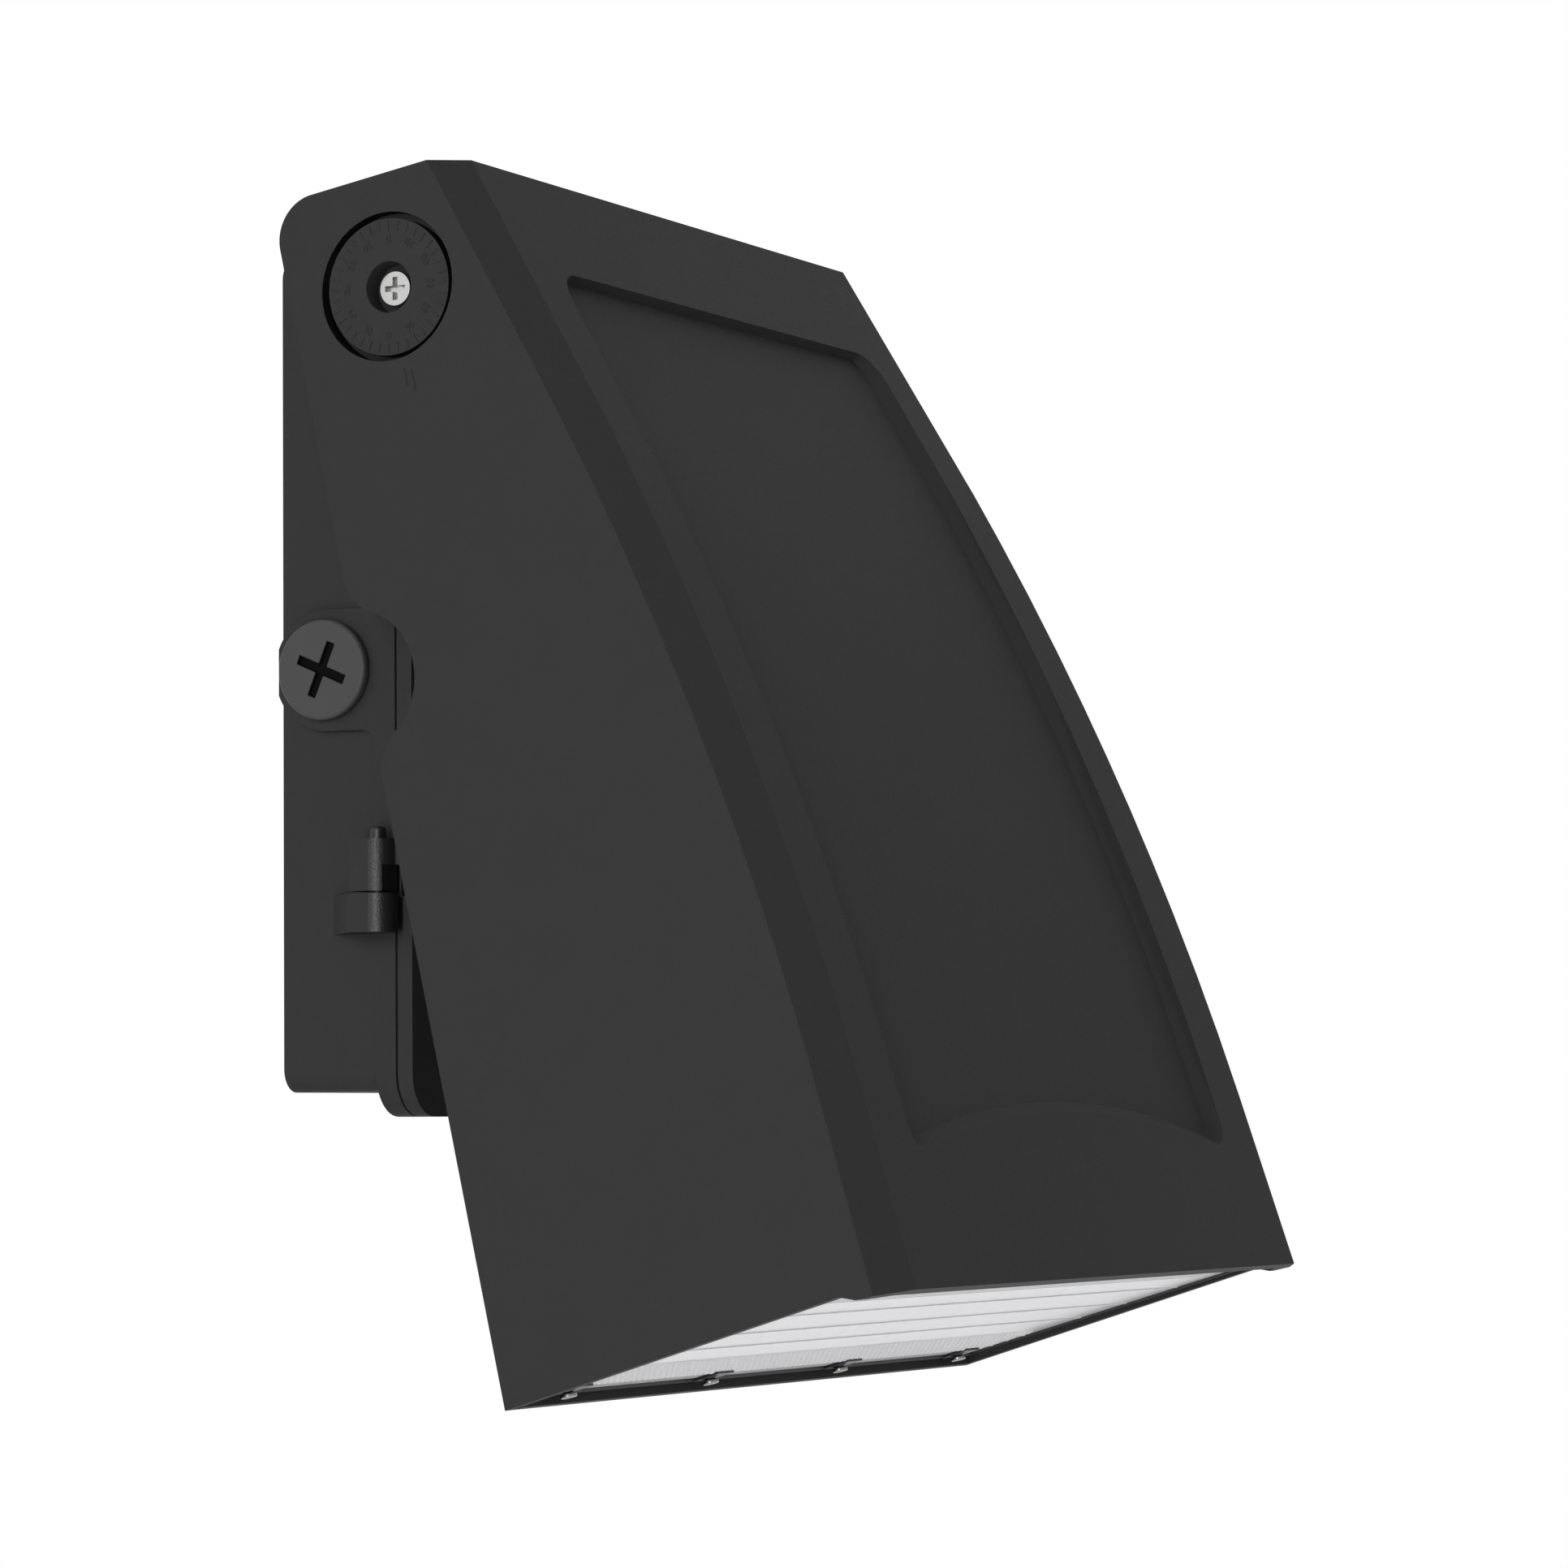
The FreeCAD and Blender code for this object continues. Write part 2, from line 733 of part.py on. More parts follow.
def door_knuckles():
    """The lift-off knuckles: each has an arm to the door at its top and a pocket in its lower front."""
    parts = []
    pockets = []
    for hinge in hinge_lows():
        low = hinge + size.box_knuckle_height + size.knuckle_gap
        high = low + size.door_knuckle_height
        arm_low = high - size.knuckle_arm_height
        parts.append(knuckle(low, size.door_knuckle_height, size.door_knuckle_tail))
        parts.append(
            box(
                (-size.hinge_across, -size.flange_width / 2 + size.box_wall),
                (-size.door_front, -size.door_back - size.knuckle_arm_step),
                (arm_low, high),
            )
        )
        near = size.knuckle_pocket_across - size.hinge_across - size.knuckle_radius
        pockets.append(
            box(
                (near, WALL_OUT - size.hinge_across),
                (-size.hinge_forward - WALL_OUT, -size.hinge_forward - size.knuckle_pocket),
                (low - PAST, arm_low),
            )
        )
    return parts, pockets


def door_plate():
    """The door: a plate on the flange, with the barrel of the tilt axis and an arm at each end of it."""
    forward, up = size.pivot_forward, size.pivot_up
    edge = rounded(size.flange_width / 2, size.flange_height / 2, size.flange_corner)
    plate = slab(edge, size.door_back, size.door_front)
    barrel = cylinder("x", (-size.arm_start, -forward, up), size.barrel_radius, size.arm_start * 2)
    behind_door = box((-OUT, OUT), (-size.door_back, OUT), (-OUT, OUT))
    barrel = cut(barrel, behind_door)
    arms = []
    holes = []
    for side in SIDES.values():
        arms.append(rod(side, size.arm_start, size.arm_face, forward, up, size.arm_radius))
        near = size.arm_face + size.dial_gap - size.pivot_screw_length
        holes.append(rod(side, near, size.arm_face + PAST, forward, up, size.pivot_screw_radius))
    bore_half = size.barrel_bore_half
    holes.append(cylinder("x", (-bore_half, -forward, up), size.barrel_bore, bore_half * 2))
    holes.append(cylinder("z", (0, -forward, up - BORE_OUT), size.gland_radius, BORE_OUT))
    for height in (-size.door_screw_up, size.door_screw_up):
        sink = size.door_front - size.door_screw_head_height
        radius = size.door_screw_radius + size.door_screw_play
        head_radius = size.door_screw_head_radius + size.screw_well_play
        front = size.door_front + PAST
        holes.append(stud(size.door_screw_across, height, size.door_back - PAST, front, radius))
        holes.append(stud(size.door_screw_across, height, sink, front, head_radius))
    knuckles, pockets = door_knuckles()
    door = fuse(plate, barrel, *arms, *knuckles)
    node("door_plate", cut(door, *holes, *pockets, *pin_bores(size.pin_play)))


def door_screws():
    screws = []
    for height in (-size.door_screw_up, size.door_screw_up):
        sink = size.door_front - size.door_screw_head_height
        head = stud(size.door_screw_across, height, sink, size.door_front, size.door_screw_head_radius)
        shank = stud(size.door_screw_across, height, size.door_screw_reach, sink, size.door_screw_radius)
        screws.append(fuse(head, shank))
    node("door_screws", group(screws))


def dial(name, side):
    """A fixed dial disc; its spigot carries the head and is clamped to the door's arm."""
    forward, up = size.pivot_forward, size.pivot_up
    disc_back = size.web_face + size.dial_gap
    face = disc_back + size.dial_thickness
    disc = rod(side, disc_back, face, forward, up, size.dial_radius)
    spigot = rod(side, size.arm_face, disc_back, forward, up, size.spigot_radius)
    sink = rod(side, face - size.dial_sink_depth, face + PAST, forward, up, size.dial_sink_radius)
    hole = rod(side, size.arm_face - PAST, face, forward, up, size.pivot_screw_radius)
    node(name, cut(fuse(disc, spigot), sink, hole))


def pivot_screws():
    screws = []
    forward, up = size.pivot_forward, size.pivot_up
    for side in SIDES.values():
        seat = size.web_face + size.dial_gap + size.dial_thickness - size.dial_sink_depth
        face = seat + size.pivot_screw_head_height
        head = rod(side, seat, face, forward, up, size.pivot_screw_head_radius)
        shank = rod(side, seat - size.pivot_screw_length, seat, forward, up, size.pivot_screw_radius)
        depth = size.pivot_screw_head_height / 2
        length, width = size.pivot_slot_length, size.pivot_slot_width
        slots = cross_slot(side, face, depth, forward, up, length, width, size.pivot_slot_turn)
        screws.append(cut(fuse(head, shank), slots))
    node("pivot_screws", group(screws))


def friction_washers():
    """Washers between the door's arms and the head, which hold the head at its angle."""
    rings = []
    for side in SIDES.values():
        near, far = size.arm_face, size.arm_face + size.washer_thickness
        ring = rod(side, near, far, size.pivot_forward, size.pivot_up, size.washer_radius)
        bore = size.spigot_radius + size.dial_gap
        hole = rod(side, near - PAST, far + PAST, size.pivot_forward, size.pivot_up, bore)
        rings.append(cut(ring, hole))
    node("friction_washers", group(rings))


def gland(spot, wall_low, wall_high):
    """A rubber grommet on a vertical axis, with a lip on each side of its wall."""
    across, depth = spot
    lip = size.gland_lip_height
    body = cylinder("z", (across, depth, wall_low - lip), size.gland_radius, wall_high - wall_low + lip * 2)
    lips = [
        cylinder("z", (across, depth, low), size.gland_radius + size.gland_lip, lip)
        for low in (wall_low - lip, wall_high)
    ]
    bore = cylinder("z", (across, depth, wall_low - WALL_OUT), size.gland_bore, BORE_OUT)
    return cut(fuse(body, *lips), bore)


def door_gland():
    low = size.pivot_up - size.barrel_radius
    high = size.pivot_up - size.barrel_bore
    body = cylinder("z", (0, -size.pivot_forward, low), size.gland_radius, high - low)
    bore = cylinder("z", (0, -size.pivot_forward, low - PAST), size.gland_bore, high - low + PAST * 2)
    node("door_gland", cut(body, bore))


# Head ----------------------------------------------------------------------------------------------------


def half_width_at(up):
    """Half the width of the head at a height on it; the sides spread towards the bottom."""
    spread = (size.head_half_bottom - size.head_half_top) / (size.head_top - size.head_bottom)
    return size.head_half_top + spread * (size.head_top - up)


def tapered(block, inset):
    """The part of a block that lies between the head's side planes, moved inwards by inset."""
    top, bottom = as_size(PART_OUT), as_size(-OUT)
    upper, lower = half_width_at(top) - inset, half_width_at(bottom) - inset
    between = slab([(-lower, bottom), (lower, bottom), (upper, top), (-upper, top)], -OUT, OUT)
    return common(block, between)


def front_line(inset):
    """The curve of the head's front, from its top to its toe, moved back by inset."""
    return [
        (size.front_top_forward - inset, size.front_top_up),
        (size.knee_forward - inset, size.knee_up, size.front_radius),
        (size.shin_forward - inset, size.shin_up),
        (size.toe_forward - inset, size.toe_up),
    ]


def behind_front(inset):
    """All that lies behind the front, moved back by inset."""
    line = front_line(inset)
    low, deep, high = PART_OUT - OUT, -PART_OUT, BORE_OUT
    return rail(line + [(line[-1][0], low), (deep, low), (deep, high), (line[0][0], high)])


def head_outline():
    """The side view of the head casting, with the notch that clears the conduit plugs."""
    back = -size.head_back
    notch_depth = size.notch_forward + size.notch_radius / 2 - back
    notch_rise = size.notch_radius * math.sin(NOTCH_ANGLE)
    blend_rise = notch_depth * math.tan(NOTCH_ANGLE)
    notch_edge = size.notch_forward + size.notch_radius / 2
    corner = size.back_corner
    return front_line(0) + [
        (size.lip_forward, size.toe_up + size.lip_rise),
        (size.rim_end_forward, size.rim_end_up),
        (back, size.head_bottom),
        (back, size.notch_up - notch_rise - blend_rise, notch_depth * 2),
        (notch_edge, size.notch_up - notch_rise, -size.notch_radius),
        (notch_edge, size.notch_up + notch_rise, notch_depth * 2),
        (back, size.notch_up + notch_rise + blend_rise),
        (back, size.head_top - corner, corner),
        (back + corner, size.head_top),
    ]


def long_front_edges(shape, side):
    """Names of the edges where the front meets one side, below the top of the front's curve."""
    names = []
    least, outer, top = size.head_back.value / 2, size.arm_start.value, size.front_top_up.value
    for index, edge in enumerate(shape.Edges, start=1):
        ends = [vertex.Point for vertex in edge.Vertexes]
        middle = edge.CenterOfMass
        in_front = len(ends) == 2 and middle.x * side > 0 and middle.y < -least and middle.z < top
        if in_front and abs(ends[0].z - ends[1].z) > least and all(abs(end.x) > outer for end in ends):
            names.append(f"Edge{index}")
    return names


def bevelled(block, across, back, probe):
    """A block with its two long front edges bevelled, wider across the front than along the sides.

    The probe is a point just under the block's front, which the bevel's wide leg takes away.
    """
    doc.recompute()
    body = doc.addObject("PartDesign::Body", "Bevelled")
    body.BaseFeature = block
    doc.recompute()
    for side in SIDES.values():
        base = body.Tip
        bevel = body.newObject("PartDesign::Chamfer", "Bevel")
        bevel.Base = (base, long_front_edges(base.Shape, side))
        bevel.ChamferType = "Two distances"
        bind(bevel, Size=across, Size2=back)
        body.Tip = bevel
        doc.recompute()
        if bevel.Shape.isInside(V(side * probe.x, probe.y, probe.z), PROBE_TOLERANCE, False):
            bevel.FlipDirection = True
            doc.recompute()
    return body


def bevel_probe(front_inset, side_inset, across, back):
    """A point at the knee of the front that only a bevel with its wide leg on the front takes away."""
    width = (half_width_at(size.knee_up) - side_inset - across * PROBE_ACROSS).value
    return V(width, (front_inset + back * PROBE_BACK - size.knee_forward).value, size.knee_up.value)


def head_room(edge):
    """The room inside the head's casting, less an edge along its front and sides."""
    across, back = size.inner_bevel_across, size.inner_bevel_back
    front_inset, side_inset = size.front_wall + edge, size.side_wall + edge
    block = tapered(behind_front(front_inset), side_inset)
    return bevelled(block, across, back, bevel_probe(front_inset, side_inset, across, back))


def head_shell():
    """The head's casting: front, two sides with bevelled corners, a sunk panel and the tilt bearings."""
    across, back = size.bevel_across, size.bevel_back
    solid_head = tapered(rail(head_outline()), 0)
    outside = bevelled(solid_head, across, back, bevel_probe(0, 0, across, back))
    walls = cut(outside, head_room(0))
    web_near = size.arm_face + size.washer_thickness
    bosses = []
    holes = []
    for side in SIDES.values():
        web_far = half_width_at(size.web_radius) - size.side_wall / 4
        bosses.append(rod(side, web_near, web_far, 0, 0, size.web_radius))
        holes.append(rod(side, size.web_face, OUT, 0, 0, size.dial_hole_radius))
        holes.append(rod(side, web_near - PAST, OUT, 0, 0, size.spigot_radius + size.spigot_play))
    relief = size.flange_height / 2 + size.swing_clearance - size.pivot_up
    holes.append(box((-size.arm_start, size.arm_start), (-relief, 0), (size.relief_low, PART_OUT)))
    screw_boss_start = size.housing_wall - size.housing_back
    in_front_wall = behind_front(size.front_wall / 2)
    for up in (size.housing_screw_top, size.housing_screw_bottom):
        for across in (-size.housing_screw_across, size.housing_screw_across):
            boss = stud(across, up, screw_boss_start, PART_OUT, size.housing_boss_radius)
            bosses.append(common(boss, in_front_wall))
            deep = screw_boss_start + size.housing_screw_length
            holes.append(stud(across, up, screw_boss_start - PAST, deep, size.housing_screw_radius))
    node("head_shell", cut(fuse(walls, *bosses), *holes, front_panel()), tilts=True)


def front_panel():
    """What is cut out of the front for its sunk panel, down to a floor that follows the front."""
    top, bottom = size.recess_half_top, size.recess_half_bottom
    corner, foot = size.recess_corner, size.recess_foot_corner
    high, low = size.recess_top, size.recess_bottom
    corners = [
        (-(bottom - foot), low, -size.recess_foot_radius),
        (bottom - foot, low, foot),
        (bottom, low + foot),
        (top, high - corner, corner),
        (top - corner, high),
        (-(top - corner), high, corner),
        (-top, high - corner),
        (-bottom, low + foot, foot),
    ]
    return cut(slab(corners, 0, PART_OUT), behind_front(size.recess_depth))


def housing_band(inset, thickness):
    """The side view of a plate that follows the housing's inner face, at an inset from its outer face."""
    front_top = size.knee_forward - size.front_wall - size.housing_wall
    outer_back, outer_top = -size.housing_back + inset, size.housing_top - inset
    roof = size.chamber_top - inset
    rear = -size.head_back + inset
    inner_back, inner_top = outer_back + thickness, outer_top - thickness
    return [
        (front_top, outer_top),
        (outer_back, outer_top),
        (outer_back, roof),
        (rear, roof),
        (rear, size.head_bottom),
        (rear + thickness, size.head_bottom),
        (rear + thickness, roof - thickness),
        (inner_back, roof - thickness),
        (inner_back, inner_top),
        (front_top, inner_top),
    ]


def rear_housing():
    """The plate that closes the head behind: a top, a back, and a step over a deeper chamber below."""
    plate = common(rail(housing_band(0, size.housing_wall)), head_room(size.housing_play))
    inner_face = size.housing_wall - size.housing_back
    bosses = []
    gland_low = size.housing_top - WALL_OUT
    holes = [cylinder("z", (0, -size.head_gland_forward, gland_low), size.gland_radius, WALL_OUT * 2)]
    boss_front = inner_face + size.driver_stand_off
    for across in (-size.driver_half - size.driver_ear / 2, size.driver_half + size.driver_ear / 2):
        up = size.driver_top - size.driver_height / 2
        bosses.append(stud(across, up, inner_face - PAST, boss_front, size.driver_boss_radius))
        holes.append(stud(across, up, inner_face, boss_front + PAST, size.clip_screw_radius))
    for up in (size.housing_screw_top, size.housing_screw_bottom):
        for across in (-size.housing_screw_across, size.housing_screw_across):
            rear = -size.housing_back - PAST
            holes.append(stud(across, up, rear, inner_face + PAST, size.housing_screw_radius))
    node("rear_housing", cut(fuse(plate, *bosses), *holes), tilts=True)


def housing_seal():
    """A seal along each side of the housing, against its inner face."""
    low, high = -OUT, size.lens_rear_up + size.inner_seal_end
    cut_end = rail([(-PART_OUT, high), (PART_OUT, high), (PART_OUT, low), (-PART_OUT, low)])
    strip = cut(rail(housing_band(size.housing_wall, size.inner_seal_thickness)), cut_end)
    outer = common(strip, head_room(size.housing_play))
    inner = tapered(strip, size.side_wall + size.housing_play + size.inner_seal_width)
    node("housing_seal", cut(outer, inner), tilts=True)


def housing_screws():
    screws = []
    face = -size.housing_back
    for up in (size.housing_screw_top, size.housing_screw_bottom):
        for across in (-size.housing_screw_across, size.housing_screw_across):
            head = stud(across, up, face - size.screw_head_height, face, size.screw_head_radius)
            shank = stud(across, up, face, face + size.housing_screw_length, size.housing_screw_radius)
            screws.append(fuse(head, shank))
    node("housing_screws", group(screws), tilts=True)


def lens_level(forward, above):
    """A point a given height above the lens's lower face, which slopes up towards the front."""
    return (forward, size.lens_rear_up + (forward + size.head_back) * size.lens_slope + above)


def clip_sheet(rear, front, low, high, half):
    """A narrow sheet parallel to the lens."""
    rear, front = as_size(rear), as_size(front)
    corners = [lens_level(rear, low), lens_level(front, low), lens_level(front, high), lens_level(rear, high)]
    return rail(corners, -as_size(half), half)


def optic_layer(edge, low, high):
    """A sheet parallel to the lens that fills the head's room, less an edge all round."""
    rear = lens_rear() - size.frame_edge + edge
    sheet = clip_sheet(rear, PART_OUT, low, high, OUT)
    return common(sheet, head_room(size.housing_play + edge))


def lens_rear():
    return size.housing_wall + size.housing_play + size.frame_edge - size.head_back


def clip_places():
    return [size.clip_pitch * (index - (CLIPS - 1) / 2) for index in range(CLIPS)]


def clip_slots(half_width, up):
    """Blocks at the lens's rear edge, one at each clip, that reach up to a height."""
    reach = size.clip_reach - size.frame_edge
    return [
        box((across - half_width, across + half_width), (-lens_rear() - reach, BORE_OUT), (-OUT, up))
        for across in clip_places()
    ]


def lens():
    """The lens, with a cut-out at each clip for its screw."""
    sheet = optic_layer(size.frame_edge + size.housing_play, 0, size.lens_thickness)
    node("lens", cut(sheet, *clip_slots(size.clip_screw_head_radius, 0)), tilts=True)


def lens_gasket():
    low, high = size.lens_thickness, size.lens_thickness + size.lens_gasket_thickness
    outer = optic_layer(size.frame_edge + size.housing_play, low, high)
    inner = optic_layer(size.lens_ledge, low - PAST, high + PAST)
    clips = [clip_hole(across) for across in clip_places()]
    node("lens_gasket", cut(outer, inner, *clips), tilts=True)


def clip_screw_forward():
    return lens_rear() + size.clip_screw_inset


def clip_hole(across):
    """The hole for a clip's screw, up through the gasket and into the frame."""
    spot = (across, -clip_screw_forward(), size.lens_rear_up - PAST)
    return cylinder("z", spot, size.clip_screw_radius, frame_top() + WALL_OUT)


def frame_top():
    return size.lens_thickness + size.lens_gasket_thickness + size.frame_thickness


def optic_frame():
    """The black frame around the lens: a ledge above it and a skirt around its edge."""
    ledge_low = size.lens_thickness + size.lens_gasket_thickness
    outer = optic_layer(0, -size.frame_skirt, frame_top())
    seat = optic_layer(size.frame_edge, -size.frame_skirt - PAST, ledge_low)
    window = optic_layer(size.lens_ledge, 0, frame_top() + PAST)
    holes = [clip_hole(across) for across in clip_places()]
    gap_top = size.lens_rear_up + size.lens_slope * size.clip_reach + size.housing_play
    gaps = clip_slots(size.clip_width / 2 + size.housing_play, gap_top)
    node("optic_frame", cut(outer, seat, window, *holes, *gaps), tilts=True)


def lens_clips():
    """Four sheet-metal clips under the lens's rear edge."""
    clips = []
    for across in clip_places():
        rear = lens_rear() - size.frame_edge / 2
        sheet = clip_sheet(rear, rear + size.clip_reach, -size.clip_thickness, 0, size.clip_width / 2)
        moved = group([sheet])
        place(moved, (across, 0, 0))
        clips.append(cut(moved, clip_hole(across)))
    node("lens_clips", group(clips), tilts=True)


def clip_screws():
    screws = []
    for across in clip_places():
        depth = -clip_screw_forward()
        seat = size.lens_rear_up - size.clip_thickness
        height = size.clip_screw_head_height
        length = size.clip_thickness + frame_top()
        head = cylinder("z", (across, depth, seat - height), size.clip_screw_head_radius, height)
        shank = cylinder("z", (across, depth, seat), size.clip_screw_radius, length)
        screws.append(fuse(head, shank))
    node("clip_screws", group(screws), tilts=True)


def reflector_tray():
    """A sheet-metal tray, open below, that stands on the frame and holds the board under its top."""
    top = size.chamber_top - size.housing_wall - size.spreader_thickness
    rear, front, half = size.tray_rear, size.tray_front, size.tray_half
    base = frame_top()
    block = rail([lens_level(rear, base), lens_level(front, base), (front, top), (rear, top)], -half, half)
    wall = size.tray_sheet
    hollow = rail(
        [
            lens_level(rear + wall, base - PAST),
            lens_level(front - wall, base - PAST),
            (front - wall, top - wall),
            (rear + wall, top - wall),
        ],
        wall - half,
        half - wall,
    )
    node("reflector_tray", cut(block, hollow), tilts=True)


def heat_spreader():
    """An aluminium plate between the housing's step and the tray."""
    roof = size.chamber_top - size.housing_wall
    node(
        "heat_spreader",
        box(
            (-size.spreader_half, size.spreader_half),
            (-size.tray_front, -size.tray_rear),
            (roof - size.spreader_thickness, roof),
        ),
        tilts=True,
    )


def led_board():
    """The board under the tray's top and its rows of light-emitting chips."""
    top = size.chamber_top - size.housing_wall - size.spreader_thickness - size.tray_sheet
    under = top - size.board_thickness
    node(
        "led_board",
        box((-size.board_half, size.board_half), (-size.board_front, -size.board_rear), (under, top)),
        tilts=True,
    )
    half = size.chip_side / 2
    middle = (size.board_front + size.board_rear) / 2
    chips = []
    for column in range(CHIP_COLUMNS):
        for line in range(CHIP_ROWS):
            across = size.chip_pitch_across * (column - (CHIP_COLUMNS - 1) / 2)
            forward = middle + size.chip_pitch_forward * (line - (CHIP_ROWS - 1) / 2)
            across_span, forward_span = (across - half, across + half), (-forward - half, half - forward)
            chips.append(box(across_span, forward_span, (under - size.chip_height, under)))
    node("led_chips", group(chips), tilts=True)


def driver():
    """The driver in the upper chamber, on two bosses of the housing, and its screws."""
    start = size.housing_wall - size.housing_back + size.driver_stand_off
    low, high = size.driver_top - size.driver_height, size.driver_top
    case = box((-size.driver_half, size.driver_half), (-start - size.driver_depth, -start), (low, high))
    ear_half = size.driver_half + size.driver_ear
    ear, drop = size.driver_ear_thickness, size.driver_ear_drop
    ears = box((-ear_half, ear_half), (-start - ear, -start), (low + drop, high - drop))
    holes = []
    screws = []
    for across in (-size.driver_half - size.driver_ear / 2, size.driver_half + size.driver_ear / 2):
        up = size.driver_top - size.driver_height / 2
        holes.append(stud(across, up, start - PAST, start + WALL_OUT, size.clip_screw_radius))
        head = stud(across, up, start + ear, start + ear + size.screw_head_height, size.screw_head_radius)
        shank = stud(across, up, start - size.driver_stand_off, start + ear, size.clip_screw_radius)
        screws.append(fuse(head, shank))
    node("driver", cut(fuse(case, ears), *holes), tilts=True)
    node("driver_screws", group(screws), tilts=True)


def head_gland():
    top = size.housing_top
    node("head_gland", gland((0, -size.head_gland_forward), top - size.housing_wall, top), tilts=True)


# Build ---------------------------------------------------------------------------------------------------


def build():
    wall_box()
    node("door_gasket", gasket_ring(size.flange_front - size.gasket_depth, size.door_back))
    for name, side in SIDES.items():
        conduit_plug(f"conduit_plug_{name}", side)
    plug_seals()
    hinge_pins()
    terminal_block()
    ground_screw()
    door_plate()
    door_screws()
    for name, side in SIDES.items():
        dial(f"dial_{name}", side)
    pivot_screws()
    friction_washers()
    door_gland()
    head_shell()
    rear_housing()
    housing_seal()
    housing_screws()
    head_gland()
    optic_frame()
    lens_gasket()
    lens()
    lens_clips()
    clip_screws()
    reflector_tray()
    heat_spreader()
    led_board()
    driver()


def check_and_write():
    """Stops on a failed object or a bad shape, and otherwise writes one STEP file for each sub-part."""
    doc.recompute()
    for thing in doc.Objects:
        if "Invalid" in thing.State or "Error" in thing.State:
            raise RuntimeError(f"{thing.Name} failed: {thing.State}")
    for piece in nodes:
        if piece.Shape.isNull() or not piece.Shape.isValid() or not piece.Shape.Solids:
            raise RuntimeError(f"{piece.Label} has a bad shape")
    os.makedirs("parts", exist_ok=True)
    for piece in nodes:
        piece.Shape.exportStep(f"parts/{piece.Label}.step")
        print(f"{piece.Label}: {len(piece.Shape.Solids)} solids, {piece.Shape.Volume:.0f} mm3")


build()
check_and_write()
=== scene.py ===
import json
import math

import bmesh
import bpy
from mathutils import Matrix, Vector


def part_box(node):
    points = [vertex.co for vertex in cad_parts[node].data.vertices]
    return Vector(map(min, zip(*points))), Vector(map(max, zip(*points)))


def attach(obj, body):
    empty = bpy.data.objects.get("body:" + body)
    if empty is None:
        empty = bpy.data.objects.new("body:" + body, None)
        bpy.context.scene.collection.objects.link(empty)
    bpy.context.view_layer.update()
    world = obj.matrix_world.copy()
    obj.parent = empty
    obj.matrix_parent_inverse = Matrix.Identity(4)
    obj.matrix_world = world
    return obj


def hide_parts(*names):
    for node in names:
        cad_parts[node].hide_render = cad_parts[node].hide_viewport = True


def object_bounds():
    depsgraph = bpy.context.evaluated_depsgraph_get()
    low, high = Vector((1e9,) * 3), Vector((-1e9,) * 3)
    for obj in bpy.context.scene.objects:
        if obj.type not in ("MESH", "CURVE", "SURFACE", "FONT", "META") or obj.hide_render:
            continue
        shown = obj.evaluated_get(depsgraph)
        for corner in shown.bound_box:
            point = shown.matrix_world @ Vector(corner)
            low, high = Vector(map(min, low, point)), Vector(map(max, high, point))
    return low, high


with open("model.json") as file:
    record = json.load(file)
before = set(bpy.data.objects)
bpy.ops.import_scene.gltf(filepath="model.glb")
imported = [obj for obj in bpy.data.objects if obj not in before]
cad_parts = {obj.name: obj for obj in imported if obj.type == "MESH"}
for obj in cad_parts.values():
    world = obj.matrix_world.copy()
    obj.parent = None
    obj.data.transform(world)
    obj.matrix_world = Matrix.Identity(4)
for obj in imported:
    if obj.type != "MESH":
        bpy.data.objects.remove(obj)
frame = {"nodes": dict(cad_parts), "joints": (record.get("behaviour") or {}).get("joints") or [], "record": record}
cad_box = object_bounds()

bl_info = {
    "name": "Wall pack light",
    "version": (1, 0, 0),
    "blender": (4, 5, 0),
    "location": "View3D > Sidebar > Wall pack light",
    "description": "Dresses a tilting wall pack light: cast housing, dials, plugs, hinges and prismatic lens",
    "category": "Add Mesh",
}

MM = 0.001

# Where things are, worked out from the frame ---------------------------------------------------------------

TILT_JOINT = [joint for joint in frame["joints"] if joint["name"] == "head_tilt"][0]
PIVOT = Vector(TILT_JOINT["pos_m"])
# The head rests tilted by as much as its joint can turn back.
TILT = -math.radians(TILT_JOINT["range_deg"][0])
SIDES = {"left": -1, "right": 1}


def head_point(across, forward, up):
    """A point of the head, given in metres as on the upright head about its tilt axis."""
    ahead = forward * math.cos(TILT) - up * math.sin(TILT)
    above = up * math.cos(TILT) + forward * math.sin(TILT)
    return Vector((across, PIVOT.y - ahead, PIVOT.z + above))


def on_head(point):
    """The across, forward and up of a point, as on the upright head about its tilt axis."""
    ahead, above = PIVOT.y - point.y, point.z - PIVOT.z
    forward = ahead * math.cos(TILT) + above * math.sin(TILT)
    return point.x, forward, above * math.cos(TILT) - ahead * math.sin(TILT)


HEAD_FORWARD = head_point(0, 1, 0) - PIVOT
HEAD_UP = head_point(0, 0, 1) - PIVOT


# Settings --------------------------------------------------------------------------------------------------


def length(label, text, metres):
    """A size property in metres."""
    return bpy.props.FloatProperty(name=label, description=text, default=metres, unit="LENGTH", precision=5)


def colour(label, text, code):
    """A colour property from an sRGB hex value."""
    return bpy.props.FloatVectorProperty(
        name=label, description=text, default=srgb(code), subtype="COLOR", size=3, min=0.0, max=1.0
    )


def srgb(code):
    """An sRGB hex value as linear red, green and blue."""
    parts = [int(code[start : start + 2], 16) / 255 for start in (1, 3, 5)]
    return [part / 12.92 if part <= 0.04045 else ((part + 0.055) / 1.055) ** 2.4 for part in parts]


